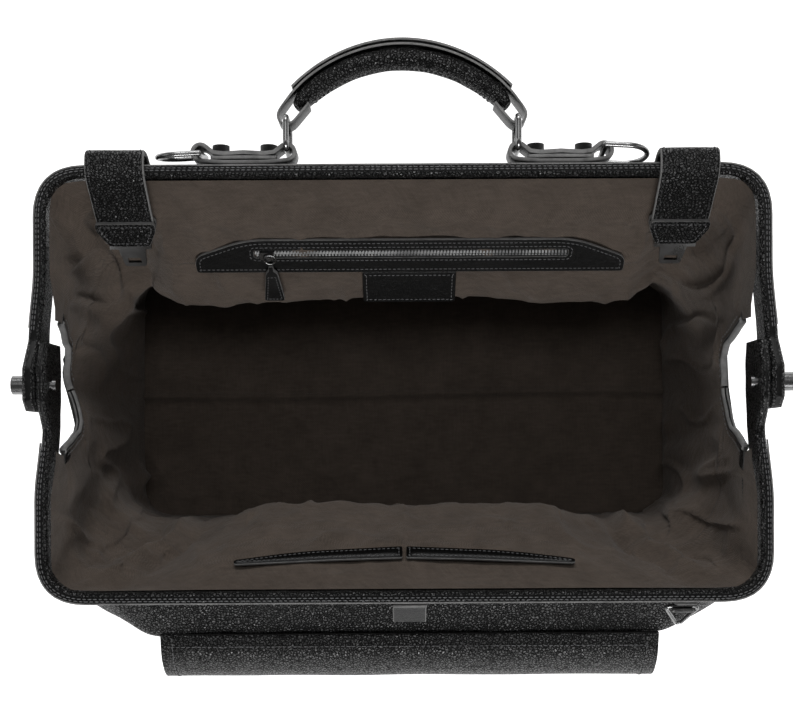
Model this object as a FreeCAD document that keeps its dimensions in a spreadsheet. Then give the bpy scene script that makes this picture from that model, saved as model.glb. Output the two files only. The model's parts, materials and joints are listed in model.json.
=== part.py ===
"""Doctor bag on a two-jaw hinged frame, standing open: leather shell, cloth lining and hardware.

Frame: X runs along the bag, +Y to its back (the handle side), +Z up. The origin is the centre
of the feet's resting plane. Both jaws lie open, a quarter turn from shut, about one pin axis
that runs along X above the origin. Millimetres.
"""
import FreeCAD, Part
import Sketcher
import math
import os
import re

Vector = FreeCAD.Vector
Placement = FreeCAD.Placement
Rotation = FreeCAD.Rotation

os.makedirs("parts", exist_ok=True)
doc = FreeCAD.newDocument("doctor_bag")
sheet = doc.addObject("Spreadsheet::Sheet", "Sizes")

SIZES = [
    # shell
    ("base_length", 376.0), ("base_depth", 184.0), ("base_corner", 14.0),
    ("foot_height", 6.0), ("foot_radius", 7.0), ("foot_inset", 22.0),
    ("leather", 2.4), ("wall_slack", 8.0), ("board", 3.0), ("cloth", 1.2), ("layer_gap", 0.4),
    # hinged frame
    ("hinge_height", 165.0), ("jaw_reach", 127.0), ("jaw_length", 427.0), ("jaw_width", 10.0),
    ("jaw_depth", 19.0), ("mating_drop", 2.0), ("jaw_corner", 27.0), ("ear_splay", 3.5),
    ("arm_end_back", 15.0), ("arm_end_front", 24.0), ("ear_reach", 30.0), ("splay_reach", 62.0),
    ("ear_width", 7.5), ("ear_gap", 0.5), ("ear_rise", 9.0),
    ("bar_width", 3.0), ("bar_depth", 13.0), ("bar_gap", 0.3), ("ear_radius", 8.0),
    ("pin_radius", 2.5), ("pin_clearance", 0.06), ("pin_head_radius", 5.5), ("pin_head_length", 7.0),
    ("pin_tail_radius", 3.6), ("pin_tail_length", 2.0),
    # handle and its hardware
    ("tab_spacing", 184.0), ("tab_length", 50.0), ("tab_width", 16.0), ("tab_stack", 8.4),
    ("loop_inner", 3.4), ("loop_outer", 6.0), ("loop_height", 7.4), ("seat_gap", 0.3),
    ("bolt_spacing", 28.0), ("bolt_head_radius", 5.0), ("bolt_head_height", 4.2),
    ("bolt_shank_radius", 2.0), ("bolt_clearance", 0.1),
    ("ring_wire", 3.4), ("ring_length", 18.2), ("ring_width", 24.0), ("ring_corner", 4.0),
    ("dee_length", 26.0), ("dee_width", 26.0), ("dee_wire", 3.2), ("dee_lean", 3.0), ("dee_tilt", 9.0),
    ("handle_rise", 34.6), ("grip_thick", 12.0), ("grip_width", 18.0), ("grip_wall", 2.0),
    ("grip_span_angle", 92.0), ("strap_layer", 3.0),
    # closing straps
    ("strap_gap", 73.0), ("strap_width", 34.0), ("strap_thick", 2.6), ("strap_length", 45.0),
    ("strap_standoff", 8.0), ("strap_lift", 3.5), ("end_cover_length", 17.0), ("end_cover_thick", 7.0),
    ("end_cover_tip", 25.0), ("tongue_width", 13.0), ("tongue_length", 19.0), ("tongue_thick", 2.0),
    ("tongue_slot_width", 8.0), ("tongue_slot_length", 4.0),
    # catches under the front bar
    ("catch_length", 30.0), ("catch_depth", 6.4), ("catch_height", 10.0), ("button_radius", 2.5),
    ("button_stroke", 1.0), ("button_clearance", 0.08), ("catch_clearance", 0.3),
    # lining wall and zip pocket
    ("lining_top_drop", 7.0), ("lining_fold_y", 58.0), ("lining_fold_height", 80.0),
    ("lining_foot_inset", 8.0), ("lining_side_inset", 4.5),
    ("front_fold_y", 72.0), ("front_fold_height", 88.0), ("notch_half", 38.0), ("notch_floor", 108.0),
    ("facing_start", 40.0), ("facing_height", 27.0), ("facing_half_left", 129.0),
    ("facing_half_right", 138.0), ("facing_thick", 1.6), ("facing_round", 9.0), ("facing_slant", 34.0),
    ("slot_start", 8.0), ("slot_height", 6.5), ("slot_left", 92.0), ("slot_right", 102.0),
    ("tape_thick", 0.6), ("tooth_pitch", 4.0), ("tooth_size", 1.4), ("tooth_height", 1.0),
    ("slider_length", 9.0), ("slider_width", 6.0), ("slider_height", 3.2), ("slider_rest", 84.0),
    ("bail_length", 1.6), ("bail_width", 2.4), ("bail_height", 2.6),
    ("pull_ring_radius", 3.6), ("pull_wire", 1.2), ("pull_length", 30.0), ("pull_width", 13.0),
    ("pull_thick", 3.4), ("pull_neck", 2.8), ("pull_bore", 1.1), ("patch_width", 59.0), ("patch_height", 27.0), ("patch_shift", 4.0),
    ("pocket_bag_depth", 52.0),
    # slip pockets on the front lining
    ("welt_start", 20.0), ("welt_height", 15.0), ("welt_half", 101.0), ("welt_thick", 1.6),
    ("welt_seam", 3.0), ("slip_bag_depth", 57.0),
    # front pocket
    ("flap_line_y", 157.0), ("flap_line_height", 107.0), ("flap_half", 156.0), ("flap_shift", 3.0),
    ("flap_drop", 62.0), ("flap_crown", 15.0),
    ("pocket_bulge", 181.0), ("pocket_floor", 24.0), ("snap_radius", 7.0), ("snap_thick", 2.0),
    ("front_tab_width", 20.0), ("side_ring_wire", 2.2), ("side_ring_size", 19.0), ("side_ring_place", 164.0),
]
for row, (alias, value) in enumerate(SIZES, start=1):
    sheet.set(f"A{row}", alias)
    sheet.set(f"B{row}", str(value))
    sheet.setAlias(f"B{row}", alias)
doc.recompute()

NAMES = {alias for alias, _ in SIZES}
parts = []


def bound(expression):
    """The expression with each of the sheet's names tied to the sheet."""
    return re.sub(
        r"[a-z_]+", lambda word: "Sizes." + word[0] if word[0] in NAMES else word[0], expression
    )


def size(expression):
    """The number that an expression over the sheet's names gives."""
    return float(sheet.evalExpression(bound(expression)))


def plus(sign, expression):
    """The expression with a sign of its own, for pieces that come in mirrored pairs."""
    return f"{sign} * ({expression})"


# ---------------------------------------------------------------- PartDesign helpers


def add_body(label):
    """An empty body that will be one piece of the bag."""
    body = doc.addObject("PartDesign::Body", label)
    body.Label = label
    parts.append(body)
    return body


def sketch_on(body, role, height="0"):
    """A sketch on one of the body's own origin planes, moved along the plane's normal."""
    plane = next(item for item in body.Origin.OriginFeatures if item.Role == role)
    sketch = body.newObject("Sketcher::SketchObject", body.Name + "Sketch")
    sketch.AttachmentSupport = [(plane, "")]
    sketch.MapMode = "FlatFace"
    sketch.setExpression("AttachmentOffset.Base.z", bound(height))
    return sketch


def pin_point(sketch, geometry, end, x, y):
    """Ties one point of a sketch to two expressions, measured from the origin."""
    for kind, text in (("DistanceX", x), ("DistanceY", y)):
        row = sketch.addConstraint(
            Sketcher.Constraint(kind, -1, 1, geometry, end, size(text))
        )
        sketch.setExpression(f"Constraints[{row}]", bound(text))


def outline(sketch, corners):
    """A closed outline. A corner is (x, y), or (x, y, radius) where a square corner is round."""
    count = len(corners)
    points = [Vector(size(corner[0]), size(corner[1])) for corner in corners]
    ends = []
    for index, corner in enumerate(corners):
        if len(corner) == 2:
            ends.append((corner, corner, None))
            continue
        x, y, radius = corner
        before = (points[index - 1] - points[index]).normalize()
        after = (points[(index + 1) % count] - points[index]).normalize()
        steps = [(round(way.x), round(way.y)) for way in (before, after, before + after)]
        came, left, centre = [
            (f"({x}) + {across} * ({radius})", f"({y}) + {up} * ({radius})") for across, up in steps
        ]
        ends.append((came, left, centre))

    def point(pair):
        return Vector(size(pair[0]), size(pair[1]))

    for index in range(count):
        start, end = ends[index][1], ends[(index + 1) % count][0]
        sketch.addGeometry(Part.LineSegment(point(start), point(end)))
    for index, (came, left, centre) in enumerate(ends):
        line_in, line_out = (index - 1) % count, index
        pin_point(sketch, line_out, 1, left[0], left[1])
        if centre is None:
            sketch.addConstraint(Sketcher.Constraint("Coincident", line_in, 2, line_out, 1))
            continue
        pin_point(sketch, line_in, 2, came[0], came[1])
        middle = point(centre)
        reach = (point(came) - middle).Length
        toward = (points[index] - middle).normalize()
        turn = (point(came) - middle).cross(point(left) - middle).z
        first, arc_ends = (1, (came, left)) if turn > 0 else (2, (left, came))
        row = sketch.addGeometry(
            Part.Arc(point(arc_ends[0]), middle + toward * reach, point(arc_ends[1]))
        )
        sketch.addConstraint(Sketcher.Constraint("Coincident", line_in, 2, row, first))
        sketch.addConstraint(Sketcher.Constraint("Coincident", line_out, 1, row, 3 - first))
        constraint = sketch.addConstraint(
            Sketcher.Constraint("DistanceX", -1, 1, row, 3, size(centre[0]))
        )
        sketch.setExpression(f"Constraints[{constraint}]", bound(centre[0]))


def circle(sketch, x, y, radius):
    """A circle tied to the sheet."""
    row = sketch.addGeometry(
        Part.Circle(Vector(size(x), size(y)), Vector(0, 0, 1), size(radius))
    )
    pin_point(sketch, row, 3, x, y)
    constraint = sketch.addConstraint(Sketcher.Constraint("Radius", row, size(radius)))
    sketch.setExpression(f"Constraints[{constraint}]", bound(radius))


def rectangle(sketch, x_low, y_low, x_high, y_high, radius=None):
    """An upright rectangle, with round corners where a radius is given."""
    corners = [(x_low, y_low), (x_high, y_low), (x_high, y_high), (x_low, y_high)]
    if radius:
        corners = [(x, y, radius) for x, y in corners]
    outline(sketch, corners)


def pad(body, sketch, length, symmetric=False):
    """Adds the sketch's area, thickened along its normal."""
    feature = body.newObject("PartDesign::Pad", body.Name + "Pad")
    feature.Profile = sketch
    feature.SideType = "Symmetric" if symmetric else "One side"
    feature.setExpression("Length", bound(length))
    doc.recompute()
    return feature


def cut(body, sketch, length=None):
    """Takes the sketch's area away along its normal, or right through both ways."""
    before = body.Shape.Volume
    feature = body.newObject("PartDesign::Pocket", body.Name + "Pocket")
    feature.Profile = sketch
    if length is None:
        feature.SideType = "Symmetric"
        feature.Type = "ThroughAll"
    else:
        feature.Reversed = True
        feature.setExpression("Length", bound(length))
    doc.recompute()
    if not body.Shape.Volume < before:
        raise RuntimeError(f"the pocket in {body.Label} cuts nothing")
    return feature


def round_edges(body, chosen, radius):
    """Rounds the edges of the body's last feature that the test picks out."""
    base = body.Tip
    names = [
        f"Edge{number}" for number, edge in enumerate(base.Shape.Edges, start=1) if chosen(edge)
    ]
    feature = body.newObject("PartDesign::Fillet", body.Name + "Fillet")
    feature.Base = (base, names)
    feature.setExpression("Radius", bound(radius))
    doc.recompute()
    return feature


def place(item, x="0", y="0", z="0", angle=None, axis=Vector(1, 0, 0)):
    """Puts a piece at a place that follows the sheet, turned about one axis."""
    if angle is not None:
        item.Placement = Placement(Vector(), Rotation(axis, size(angle)))
        item.setExpression("Placement.Rotation.Angle", f"({bound(angle)}) * 1 deg")
    for name, text in (("x", x), ("y", y), ("z", z)):
        item.setExpression(f"Placement.Base.{name}", bound(text))


def upright(chosen):
    """Picks the straight edges along Z whose place passes a test."""

    def test(edge):
        low, high = edge.Vertexes[0].Point, edge.Vertexes[-1].Point
        along = abs(high.z - low.z) > 0.99 * edge.Length > 0.1
        return along and chosen(low)

    return test


# ---------------------------------------------------------------- Part helpers


def primitive(kind, name, x="0", y="0", z="0", turn=None, **sizes):
    """A Part primitive whose sizes and place follow the sheet."""
    item = doc.addObject(kind, name)
    if turn is not None:
        item.Placement = Placement(Vector(), turn)
    for key, text in sizes.items():
        item.setExpression(key, bound(text))
    for key, text in (("x", x), ("y", y), ("z", z)):
        item.setExpression(f"Placement.Base.{key}", bound(text))
    return item


def group(label, items, kind="Part::Compound"):
    """Several shapes as one piece: fused, or side by side as equal fasteners."""
    item = doc.addObject(kind, label)
    item.Label = label
    if kind == "Part::Compound":
        item.Links = items
    else:
        item.Shapes = items
    parts.append(item)
    return item


def soft(label, shape):
    """A plain closed solid for a piece of leather or cloth that Part's functions shape."""
    item = doc.addObject("Part::Feature", label)
    item.Label = label
    item.Shape = shape
    parts.append(item)
    return item


def band(path, thickness, half_width, shift=0.0):
    """A bent strip: a path of (y, z) points along its middle, its thickness and half its width."""
    points = [Vector(0, y, z) for y, z in path]
    sides = ([], [])
    for index, point in enumerate(points):
        runs = []
        if index > 0:
            runs.append((point - points[index - 1]).normalize())
        if index < len(points) - 1:
            runs.append((points[index + 1] - point).normalize())
        normals = [Vector(0, -run.z, run.y) for run in runs]
        mean = sum(normals, Vector()).normalize()
        reach = thickness / 2 / mean.dot(normals[0])
        sides[0].append(point + mean * reach)
        sides[1].append(point - mean * reach)
    ring = sides[0] + sides[1][::-1]
    face = Part.Face(Part.makePolygon(ring + ring[:1]))
    solid = face.extrude(Vector(2 * half_width, 0, 0))
    solid.translate(Vector(shift - half_width, 0, 0))
    return solid


def bend(solid, radius):
    """Rounds the bends of a strip that runs along X."""
    edges = []
    for edge in solid.Edges:
        run = edge.Vertexes[1].Point - edge.Vertexes[0].Point
        if abs(run.x) < 0.99 * run.Length:
            continue
        faces = solid.ancestorsOfType(edge, Part.Face)
        turn = faces[0].normalAt(0, 0).getAngle(faces[1].normalAt(0, 0))
        if math.radians(8) < turn < math.radians(75):
            edges.append(edge)
    return solid.makeFillet(radius, edges) if edges else solid


def station(z, path, thickness):
    """A level cross-section of an upright wall: its outer path in (x, y) and its thickness inward."""
    points = [Vector(x, y, z) for x, y in path]
    inner = []
    for index, point in enumerate(points):
        runs = []
        if index > 0:
            runs.append((point - points[index - 1]).normalize())
        if index < len(points) - 1:
            runs.append((points[index + 1] - point).normalize())
        normals = [Vector(run.y, -run.x, 0) for run in runs]
        mean = sum(normals, Vector()).normalize()
        inner.append(point + mean * (thickness / mean.dot(normals[0])))
    ring = points + inner[::-1]
    return Part.makePolygon(ring + ring[:1])


def wall(stations, thickness):
    """An upright wall through level cross-sections, each (z, outer path)."""
    wires = [station(z, path, thickness) for z, path in stations]
    return Part.makeLoft(wires, True, True)


def prism(corners, low, high, direction):
    """A flat outline pushed along an axis, to trim a strip's ends or open a notch."""
    face = Part.Face(Part.makePolygon(corners + corners[:1]))
    face.translate(direction * low)
    return face.extrude(direction * (high - low))


# ---------------------------------------------------------------- shared places

HALF = "jaw_length / 2"
BACK_EAR_OUT = f"({HALF} + ear_splay)"
BACK_EAR_IN = f"({BACK_EAR_OUT} - ear_width)"
FRONT_EAR_OUT = f"({BACK_EAR_IN} - ear_gap)"
FRONT_EAR_IN = f"({FRONT_EAR_OUT} - ear_width)"
MATING = "(hinge_height - mating_drop)"
UNDERSIDE = f"({MATING} - jaw_depth)"
BAR_MIDDLE = f"({MATING} - jaw_depth / 2)"
BOARD_FLOOR = "(foot_height + leather + layer_gap)"
LINING_FLOOR = f"({BOARD_FLOOR} + board + layer_gap)"
LINING_TOP = f"({MATING} - lining_top_drop + 2)"
LINING_EDGE = "(jaw_reach - jaw_width - cloth - 2 * layer_gap)"
BACK_SLOPE = f"atan(({LINING_TOP} - lining_fold_height) / ({LINING_EDGE} - lining_fold_y)) / 1 deg"
FRONT_SLOPE = f"-atan(({LINING_TOP} - front_fold_height) / ({LINING_EDGE} - front_fold_y)) / 1 deg"
LOOP_SEAT = "(jaw_reach + seat_gap + loop_height)"
RING_PLAY = "(loop_inner - ring_wire / 2 - seat_gap)"
RING_SEAT = f"({LOOP_SEAT} + {RING_PLAY})"
GRIP_SEAT = f"({RING_SEAT} + ring_length + {RING_PLAY})"
LOOP_INSIDE = "(tab_spacing / 2 - tab_length / 2)"
STRAP_OFFSET = "(tab_spacing / 2 + strap_gap)"
STRAP_PIVOT_Y = LINING_EDGE
STRAP_PIVOT_Z = f"({MATING} + strap_lift - 0.5)"


# ---------------------------------------------------------------- base


def make_base():
    """Bottom leather, the board that stiffens it, the floor cloth and the studs it stands on."""
    bottom = add_body("bottom_panel")
    sketch = sketch_on(bottom, "XY_Plane", "foot_height")
    rectangle(
        sketch, "-base_length / 2", "-base_depth / 2", "base_length / 2", "base_depth / 2", "base_corner"
    )
    pad(bottom, sketch, "leather")
    for label, floor, thick, shrink in (
        ("base_board", BOARD_FLOOR, "board", "(leather + 6 * layer_gap)"),
        ("lining_floor", LINING_FLOOR, "cloth", "(lining_side_inset + 2 * cloth)"),
    ):
        body = add_body(label)
        sketch = sketch_on(body, "XY_Plane", floor)
        x, y = f"(base_length / 2 - {shrink})", f"(base_depth / 2 - {shrink})"
        if label == "lining_floor":
            y = f"(base_depth / 2 - lining_foot_inset - 3 * cloth)"
        rectangle(sketch, f"-{x}", f"-{y}", x, y, "base_corner")
        pad(body, sketch, thick)
    studs = []
    x, y = "(base_length / 2 - foot_inset)", "(base_depth / 2 - foot_inset)"
    for number, (place_x, place_y) in enumerate(
        ((x, y), (f"-{x}", y), (x, f"-{y}"), (f"-{x}", f"-{y}"), ("0", "0")), start=1
    ):
        studs.append(
            primitive(
                "Part::Cone", f"stud_{number}", place_x, place_y,
                Radius1="foot_radius - 2", Radius2="foot_radius", Height="foot_height",
            )
        )
    group("base_feet", studs)


# ---------------------------------------------------------------- the two jaws


def jaw_outline(sketch, sign, outer, inner, reach, width, arm_end, radius_out, radius_in):
    """The flat U of a jaw: its arms step sideways near the pin so that the two pairs pass."""
    step, splay = plus(sign, "ear_reach"), plus(sign, "splay_reach")
    end, far, near = plus(-sign, arm_end), plus(sign, reach), plus(sign, f"({reach}) - ({width})")
    wide, narrow = outer[1], inner[1]
    outline(
        sketch,
        [
            (outer[0], end), (outer[0], step), (wide, splay), (wide, far, radius_out),
            (f"-{wide}", far, radius_out), (f"-{wide}", splay), (f"-{outer[0]}", step), (f"-{outer[0]}", end),
            (f"-{inner[0]}", end), (f"-{inner[0]}", step), (f"-{narrow}", splay),
            (f"-{narrow}", near, radius_in), (narrow, near, radius_in), (narrow, splay),
            (inner[0], step), (inner[0], end),
        ],
    )


def ear_profile(sketch, sign, grow, end, low):
    """The side view of an arm's end: it rises round the pin and falls to the arm."""
    top = f"(hinge_height + ear_rise + ({grow}))"
    reach = "(ear_reach - 4)"
    outline(
        sketch,
        [
            (plus(-sign, end), low), (plus(sign, f"{reach} + ({grow})"), low),
            (plus(sign, f"{reach} + ({grow})"), f"({MATING} - 1 + ({grow}))"),
            (plus(sign, "9"), top), (plus(-sign, f"9 + ({grow})"), top),
            (plus(-sign, end), f"(hinge_height + 3 + ({grow}))"),
        ],
    )


def make_jaw(name, sign, ear_in, ear_out, arm_end, bore):
    """One jaw: a flat steel bar bent to a U with an ear at each end, sewn into a leather cover."""
    inset = "(jaw_width - bar_width) / 2"
    ear_inset = "(ear_width - bar_width) / 2"
    room = f"({inset} - bar_gap)"
    ear_room = f"({ear_inset} - bar_gap)"
    bar_low = f"({BAR_MIDDLE} - bar_depth / 2)"

    cover = add_body(f"{name}_jaw_cover")
    sketch = sketch_on(cover, "XY_Plane", UNDERSIDE)
    jaw_outline(
        sketch, sign, (ear_out, f"({HALF})"), (ear_in, f"({HALF} - jaw_width)"),
        "jaw_reach", "jaw_width", arm_end, "jaw_corner", "jaw_corner - jaw_width",
    )
    pad(cover, sketch, "jaw_depth")
    for ear_start in (ear_in, f"-{ear_out}"):
        sketch = sketch_on(cover, "YZ_Plane", ear_start)
        ear_profile(sketch, sign, "0", arm_end, f"({UNDERSIDE} + 1)")
        pad(cover, sketch, "ear_width")
    sketch = sketch_on(cover, "XY_Plane", f"{bar_low} - bar_gap")
    jaw_outline(
        sketch, sign, (f"({ear_out} - {ear_room})", f"({HALF} - {room})"),
        (f"({ear_in} + {ear_room})", f"({HALF} - jaw_width + {room})"),
        f"(jaw_reach - {room})", f"(jaw_width - 2 * {room})", "ear_radius + bar_gap",
        f"(jaw_corner - {room})", f"(jaw_corner - jaw_width + {room})",
    )
    cut(cover, sketch, "bar_depth + 2 * bar_gap")
    for ear_start in (f"({ear_in} + {ear_room})", f"(-{ear_out} + {ear_room})"):
        sketch = sketch_on(cover, "YZ_Plane", ear_start)
        circle(sketch, "0", "hinge_height", "ear_radius + bar_gap")
        cut(cover, sketch, "bar_width + 2 * bar_gap")
    sketch = sketch_on(cover, "YZ_Plane")
    circle(sketch, "0", "hinge_height", f"pin_radius + {bore}")
    cut(cover, sketch)

    bar = add_body(f"{name}_jaw_bar")
    sketch = sketch_on(bar, "XY_Plane", bar_low)
    jaw_outline(
        sketch, sign, (f"({ear_out} - {ear_inset})", f"({HALF} - {inset})"),
        (f"({ear_in} + {ear_inset})", f"({HALF} - jaw_width + {inset})"),
        f"(jaw_reach - {inset})", "bar_width", "ear_radius",
        f"(jaw_corner - {inset})", f"(jaw_corner - jaw_width + {inset})",
    )
    pad(bar, sketch, "bar_depth")
    for ear_start in (f"({ear_in} + {ear_inset})", f"(-{ear_out} + {ear_inset})"):
        sketch = sketch_on(bar, "YZ_Plane", ear_start)
        circle(sketch, "0", "hinge_height", "ear_radius")
        pad(bar, sketch, "bar_width")
    sketch = sketch_on(bar, "YZ_Plane")
    circle(sketch, "0", "hinge_height", f"pin_radius + {bore}")
    cut(bar, sketch)
    return cover, bar


def bolt_holes(body):
    """Four holes through the back bar for the handle tabs' bolts."""
    sketch = sketch_on(body, "XZ_Plane")
    for sign in (-1, 1):
        for step in (-1, 1):
            circle(
                sketch, plus(sign, f"tab_spacing / 2 + {step} * bolt_spacing / 2"),
                BAR_MIDDLE, "bolt_shank_radius + bolt_clearance",
            )
    cut(body, sketch)


def make_pins():
    """The two hinge pins, each with a tall head outside and a riveted tail inside."""
    pins = []
    shank_out = f"({BACK_EAR_OUT} + seat_gap)"
    shank_in = f"({FRONT_EAR_IN} - seat_gap)"
    for side, sign in (("left", -1), ("right", 1)):
        turn = Rotation(Vector(0, 1, 0), 90 * sign)
        pieces = [
            primitive(
                "Part::Cylinder", f"pin_shank_{side}", plus(sign, f"{shank_in} - pin_tail_length"), "0",
                "hinge_height", turn, Radius="pin_radius",
                Height=f"{shank_out} - {shank_in} + pin_tail_length + 1",
            ),
            primitive(
                "Part::Cylinder", f"pin_head_{side}", plus(sign, shank_out), "0", "hinge_height", turn,
                Radius="pin_head_radius", Height="pin_head_length",
            ),
            primitive(
                "Part::Cylinder", f"pin_tail_{side}", plus(sign, f"{shank_in} - pin_tail_length"), "0",
                "hinge_height", turn, Radius="pin_tail_radius", Height="pin_tail_length",
            ),
        ]
        fused = doc.addObject("Part::MultiFuse", f"pin_{side}")
        fused.Shapes = pieces
        pins.append(fused)
    group("hinge_pins", pins)


# ---------------------------------------------------------------- handle and rings


def make_tab(side, sign):
    """A leather tab folded from both ends, with a loop at each end for a ring."""
    tab = add_body(f"handle_tab_{side}")
    sketch = sketch_on(tab, "XY_Plane")
    rectangle(sketch, "-tab_length / 2", "0", "tab_length / 2", "tab_stack")
    pad(tab, sketch, "tab_width", symmetric=True)
    for end in (-1, 1):
        sketch = sketch_on(tab, "XY_Plane")
        circle(sketch, plus(end, "tab_length / 2"), "loop_height", "loop_outer")
        pad(tab, sketch, "tab_width", symmetric=True)
    sketch = sketch_on(tab, "XY_Plane")
    for end in (-1, 1):
        circle(sketch, plus(end, "tab_length / 2"), "loop_height", "loop_inner")
    cut(tab, sketch)
    sketch = sketch_on(tab, "XZ_Plane")
    for end in (-1, 1):
        circle(sketch, plus(end, "bolt_spacing / 2"), "0", "bolt_shank_radius + bolt_clearance")
    cut(tab, sketch)
    place(tab, plus(sign, "tab_spacing / 2"), "jaw_reach + seat_gap", BAR_MIDDLE)


def make_bolts():
    """Four bolts with tall knurled heads that hold the tabs to the steel bar."""
    outward = Rotation(Vector(1, 0, 0), -90)
    bolts = []
    for sign in (-1, 1):
        for step in (-1, 1):
            x = plus(sign, f"tab_spacing / 2 + {step} * bolt_spacing / 2")
            head_seat = "jaw_reach + seat_gap + tab_stack"
            name = f"{len(bolts) + 1}"
            head = primitive(
                "Part::Cylinder", "bolt_head_" + name, x, head_seat, BAR_MIDDLE, outward,
                Radius="bolt_head_radius", Height="bolt_head_height",
            )
            shank = primitive(
                "Part::Cylinder", "bolt_shank_" + name, x, "jaw_reach - jaw_width + 1", BAR_MIDDLE, outward,
                Radius="bolt_shank_radius", Height="tab_stack + seat_gap + jaw_width - 0.5",
            )
            fused = doc.addObject("Part::MultiFuse", "bolt_" + name)
            fused.Shapes = [head, shank]
            bolts.append(fused)
    group("tab_bolts", bolts)


def wire_loop(label, length, width, corner, wire):
    """A closed wire link: a near bar on the X axis, a far bar, and round corners between."""
    half, flat, rise = f"({width}) / 2", f"(({width}) / 2 - ({corner}))", f"(({length}) - 2 * ({corner}))"
    along = Rotation(Vector(0, 1, 0), 90)
    upward = Rotation(Vector(1, 0, 0), -90)
    pieces = []
    for number, y in enumerate(("0", length)):
        pieces.append(
            primitive(
                "Part::Cylinder", f"{label}_bar_{number}", f"-{flat}", y, "0", along,
                Radius=f"({wire}) / 2", Height=f"2 * {flat}",
            )
        )
    for number, sign in enumerate((-1, 1)):
        if size(rise) > 0:
            pieces.append(
                primitive(
                    "Part::Cylinder", f"{label}_side_{number}", plus(sign, half), corner, "0", upward,
                    Radius=f"({wire}) / 2", Height=rise,
                )
            )
    for number, (x, y, turn) in enumerate(
        ((flat, f"{length} - {corner}", 0), (f"-{flat}", f"{length} - {corner}", 90),
         (f"-{flat}", corner, 180), (flat, corner, 270))
    ):
        pieces.append(
            primitive(
                "Part::Torus", f"{label}_bend_{number}", x, y, "0", Rotation(Vector(0, 0, 1), turn),
                Radius1=corner, Radius2=f"({wire}) / 2", Angle3="90",
            )
        )
    item = group(label, pieces, "Part::MultiFuse")
    return item


def dee_loop(label, length, width, wire):
    """A D-shaped link: a straight bar on the X axis, short sides and a half-round bow."""
    half = f"(({width}) / 2)"
    side = f"(({length}) - {half})"
    upward = Rotation(Vector(1, 0, 0), -90)
    pieces = [
        primitive(
            "Part::Cylinder", label + "_bar", f"-{half}", "0", "0", Rotation(Vector(0, 1, 0), 90),
            Radius=f"({wire}) / 2", Height=f"2 * {half}",
        ),
        primitive(
            "Part::Torus", label + "_bow", "0", side, "0", Rotation(),
            Radius1=half, Radius2=f"({wire}) / 2", Angle3="180",
        ),
    ]
    for number, sign in enumerate((-1, 1)):
        pieces.append(
            primitive(
                "Part::Sphere", f"{label}_corner_{number}", plus(sign, half), "0", "0", Radius=f"({wire}) / 2",
            )
        )
        pieces.append(
            primitive(
                "Part::Cylinder", f"{label}_side_{number}", plus(sign, half), "0", "0", upward,
                Radius=f"({wire}) / 2", Height=side,
            )
        )
    return group(label, pieces, "Part::MultiFuse")


def make_rings():
    """Oval rings that carry the handle, and D-rings for a shoulder strap, in the tabs' loops."""
    to_wall = Rotation(Vector(1, 1, 1), -120)
    for side, sign in (("left", -1), ("right", 1)):
        ring = wire_loop(f"handle_ring_{side}", "ring_length", "ring_width", "ring_corner", "ring_wire")
        ring.Placement = Placement(Vector(), Rotation(Vector(0, 1, 0), -90))
        place(ring, plus(sign, LOOP_INSIDE), RING_SEAT, BAR_MIDDLE)
        dee = dee_loop(f"d_ring_{side}", "dee_length", "dee_width", "dee_wire")
        turn = to_wall if sign > 0 else Rotation(Vector(0, 0, 1), 180).multiply(to_wall)
        lean = Rotation(Vector(0, 0, 1), -sign * size("dee_lean"))
        tilt = Rotation(Vector(0, 1, 0), -size("dee_tilt"))
        dee.Placement = Placement(Vector(), lean.multiply(turn).multiply(tilt))
        place(dee, plus(sign, "tab_spacing / 2 + tab_length / 2"), LOOP_SEAT, BAR_MIDDLE)


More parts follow.
